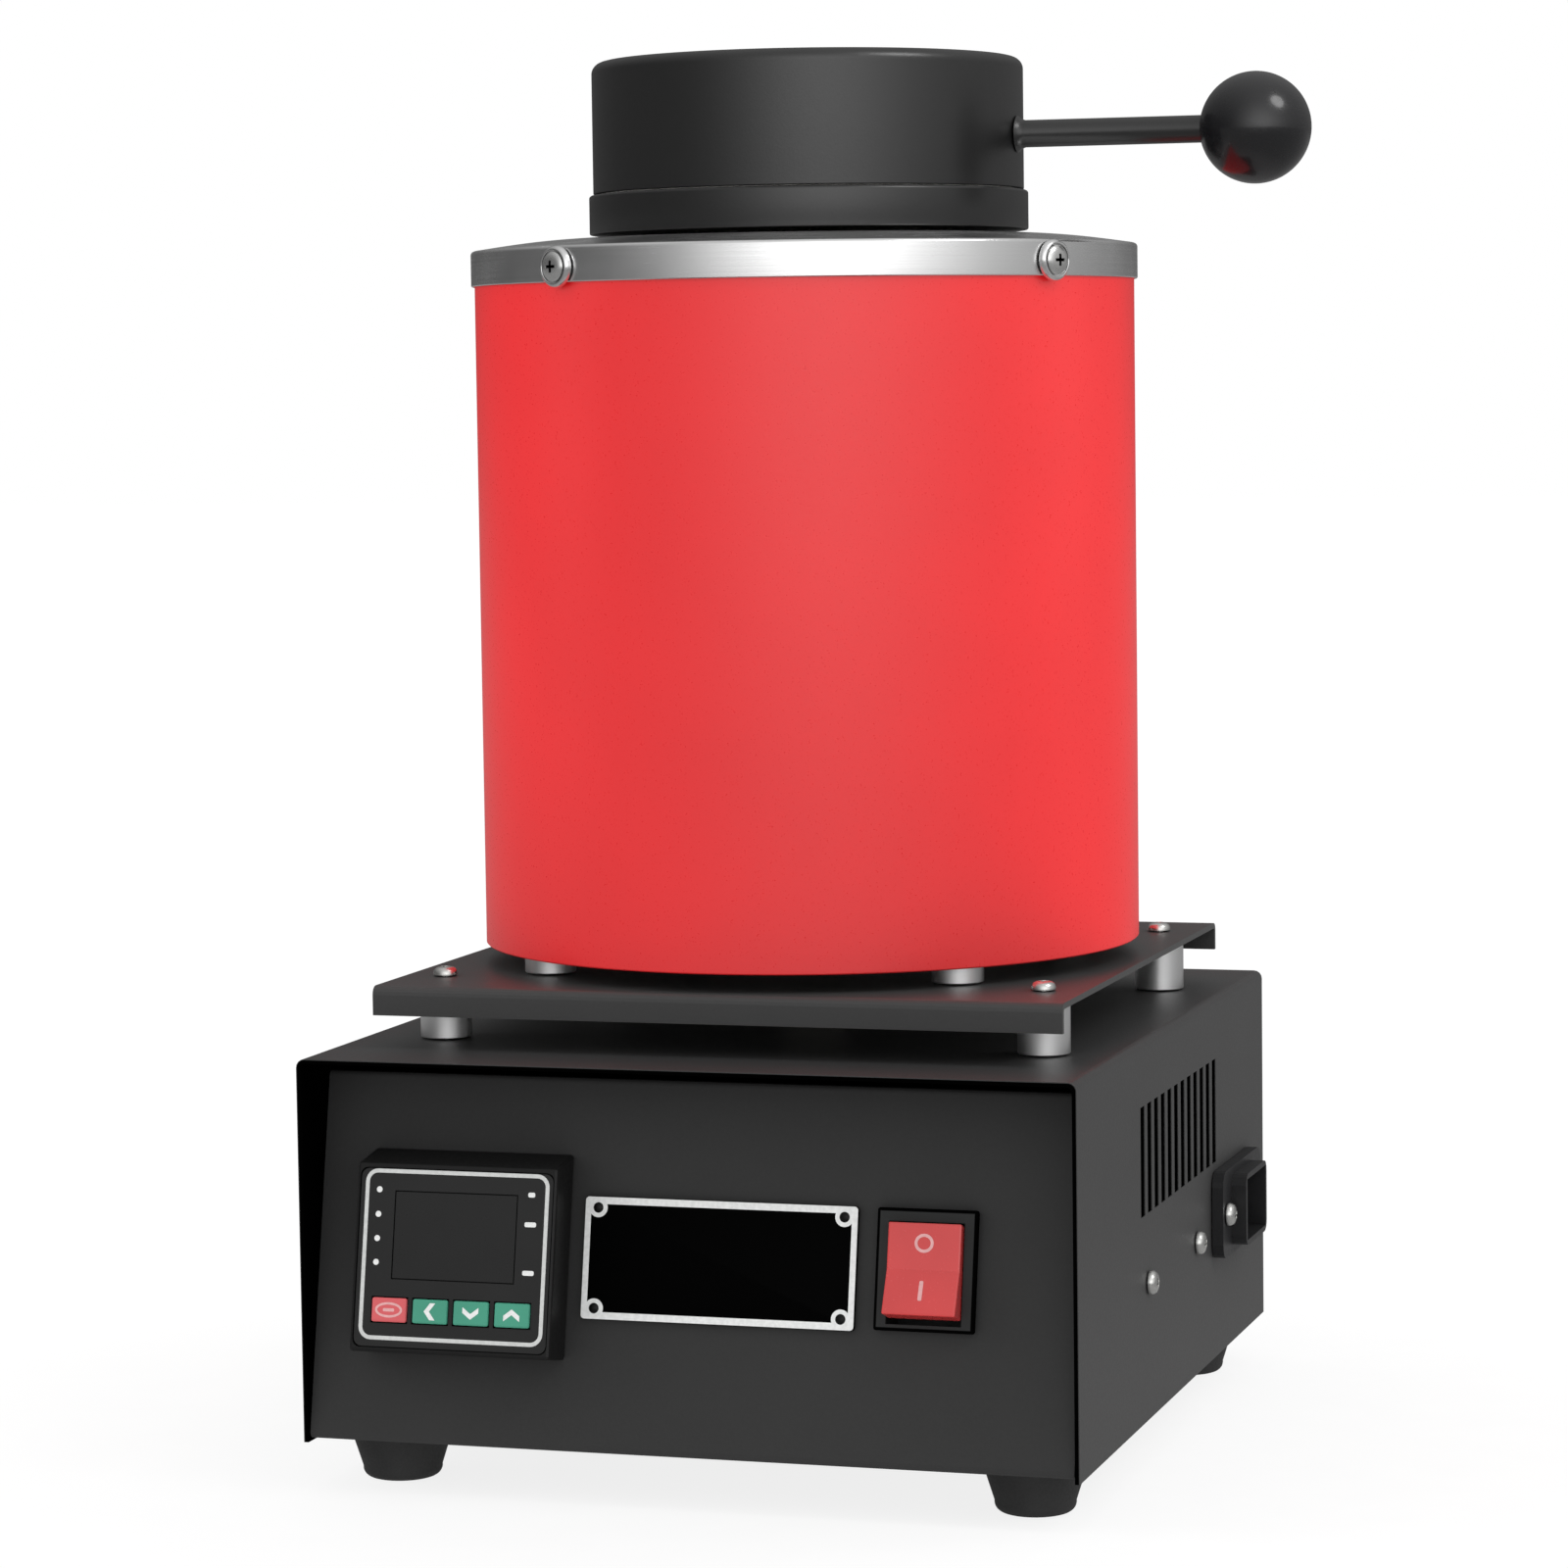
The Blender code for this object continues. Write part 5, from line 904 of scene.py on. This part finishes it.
def make_floor():
    """A pale floor that shows the object's soft shadow near it and is plain white further out."""
    mesh = bpy.data.meshes.new("floor")
    size = 9.0
    corners = [(-size, -size, 0), (size, -size, 0), (size, size, 0), (-size, size, 0)]
    mesh.from_pydata(corners, [], [(0, 1, 2, 3)])
    floor = bpy.data.objects.new("floor", mesh)
    bpy.context.scene.collection.objects.link(floor)
    n = Nodes("floor")
    grain = n.remap(n.noise(60.0, 3.0), 0.3, 0.7, 0.0, 1.0)
    n.set(Base_Color=n.mix(grain, (0.86, 0.86, 0.86), (0.90, 0.90, 0.90)), Roughness=0.9)
    n.set(Specular_IOR_Level=0.1)
    glow = n.tree.nodes.new("ShaderNodeEmission")
    path = n.tree.nodes.new("ShaderNodeLightPath")
    n.link(n.remap(path.outputs["Is Glossy Ray"], 0.0, 1.0, 1.02, 0.25), glow.inputs["Strength"])
    blend = n.tree.nodes.new("ShaderNodeMixShader")
    n.link(n.remap(n.from_axis(), 0.16, 0.36, 0.82, 1.0), blend.inputs[0])
    n.link(n.shader.outputs[0], blend.inputs[1])
    n.link(glow.outputs[0], blend.inputs[2])
    n.link(blend.outputs[0], n.tree.nodes["Material Output"].inputs["Surface"])
    mesh.materials.append(n.material)


def area(name, azimuth, elevation, distance, width, tall, power, aim=(0, 0, 0.2)):
    light = bpy.data.lights.new(name, "AREA")
    light.shape = "ELLIPSE"
    light.size = width
    light.size_y = tall
    light.energy = power
    obj = bpy.data.objects.new(name, light)
    bpy.context.scene.collection.objects.link(obj)
    a, e = radians(azimuth), radians(elevation)
    away = Vector((sin(a) * cos(e), -cos(a) * cos(e), sin(e)))
    obj.location = Vector(aim) + away * distance
    obj.rotation_euler = away.to_track_quat("Z", "Y").to_euler()
    obj.visible_camera = False
    obj.visible_glossy = name == "front"


# The least brightness of what shiny parts mirror.
MIRRORED_LEAST = 0.012


def make_light():
    area("front", 75, 46, 1.6, 0.62, 0.62, 4.5)
    area("left", -72, 20, 1.6, 0.9, 1.3, 7.0)
    area("right", 116, 20, 1.6, 0.9, 1.3, 8.0)
    area("top", 10, 84, 1.5, 1.0, 1.0, 2.0)
    world = bpy.data.worlds.new("world")
    bpy.context.scene.world = world
    world.use_nodes = True
    tree = world.node_tree
    tree.nodes.clear()
    out = tree.nodes.new("ShaderNodeOutputWorld")
    coords = tree.nodes.new("ShaderNodeTexCoord")
    level = None
    for direction, power, strength in (
        (level_towards(24.0), 9.0, 1.40),
        (level_towards(62.0), 2.0, 0.42),
        ((0.0, 0.0, 1.0), 3.0, 0.55),
    ):
        shape = lobe(tree, coords.outputs["Generated"], direction, power)
        part = scalar(tree, "MULTIPLY_ADD", shape, strength, MIRRORED_LEAST)
        if level:
            tree.links.new(level, part.node.inputs[2])
        level = part
    mirrored = backdrop(tree, 1.0)
    tree.links.new(level, mirrored.inputs["Strength"])
    path = tree.nodes.new("ShaderNodeLightPath")
    soft = blend_shaders(tree, path.outputs["Is Glossy Ray"], backdrop(tree, 0.80), mirrored)
    seen = blend_shaders(tree, path.outputs["Is Camera Ray"], soft, backdrop(tree, 1.0))
    tree.links.new(seen.outputs[0], out.inputs["Surface"])


def level_towards(azimuth):
    return (sin(radians(azimuth)), -cos(radians(azimuth)), 0.0)


def lobe(tree, ray, direction, power):
    """1 for a ray in the direction, falling to 0 against it, faster for a higher power."""
    facing = tree.nodes.new("ShaderNodeVectorMath")
    facing.operation = "DOT_PRODUCT"
    tree.links.new(ray, facing.inputs[0])
    facing.inputs[1].default_value = direction
    half = scalar(tree, "MULTIPLY_ADD", facing.outputs["Value"], 0.5, 0.5)
    return scalar(tree, "POWER", half, power, 0.0)


def scalar(tree, operation, value, one, two):
    node = tree.nodes.new("ShaderNodeMath")
    node.operation = operation
    tree.links.new(value, node.inputs[0])
    node.inputs[1].default_value = one
    node.inputs[2].default_value = two
    return node.outputs[0]


def backdrop(tree, strength):
    node = tree.nodes.new("ShaderNodeBackground")
    node.inputs["Color"].default_value = (1, 1, 1, 1)
    node.inputs["Strength"].default_value = strength
    return node


def blend_shaders(tree, share, one, two):
    node = tree.nodes.new("ShaderNodeMixShader")
    tree.links.new(share, node.inputs[0])
    tree.links.new(one.outputs[0], node.inputs[1])
    tree.links.new(two.outputs[0], node.inputs[2])
    return node


def make_camera():
    azimuth, elevation, roll = radians(17.092), radians(4.816), radians(-0.774)
    back = Vector((sin(azimuth) * cos(elevation), -cos(azimuth) * cos(elevation), sin(elevation)))
    right0 = Vector((cos(azimuth), sin(azimuth), 0))
    up0 = back.cross(right0)
    right = right0 * cos(roll) + up0 * sin(roll)
    up = up0 * cos(roll) - right0 * sin(roll)
    data = bpy.data.cameras.new("camera")
    data.sensor_width = 36.0
    data.lens = 111.47
    camera = bpy.data.objects.new("camera", data)
    bpy.context.scene.collection.objects.link(camera)
    camera.matrix_world = Matrix(
        (
            (right.x, up.x, back.x, BOX_MIDDLE.x + 0.3703),
            (right.y, up.y, back.y, BOX_MIDDLE.y - 1.2225),
            (right.z, up.z, back.z, COVER_LOW.z + 0.2654),
            (0, 0, 0, 1),
        )
    )
    bpy.context.scene.camera = camera
    bpy.context.scene.view_settings.view_transform = "Standard"


make_camera()
make_barrel()
make_cap()
make_lid()
make_small()
make_inside()
make_controller_marks()
key_marks()
make_plate()
make_switch_marks()
finish_kept()
make_floor()
make_light()
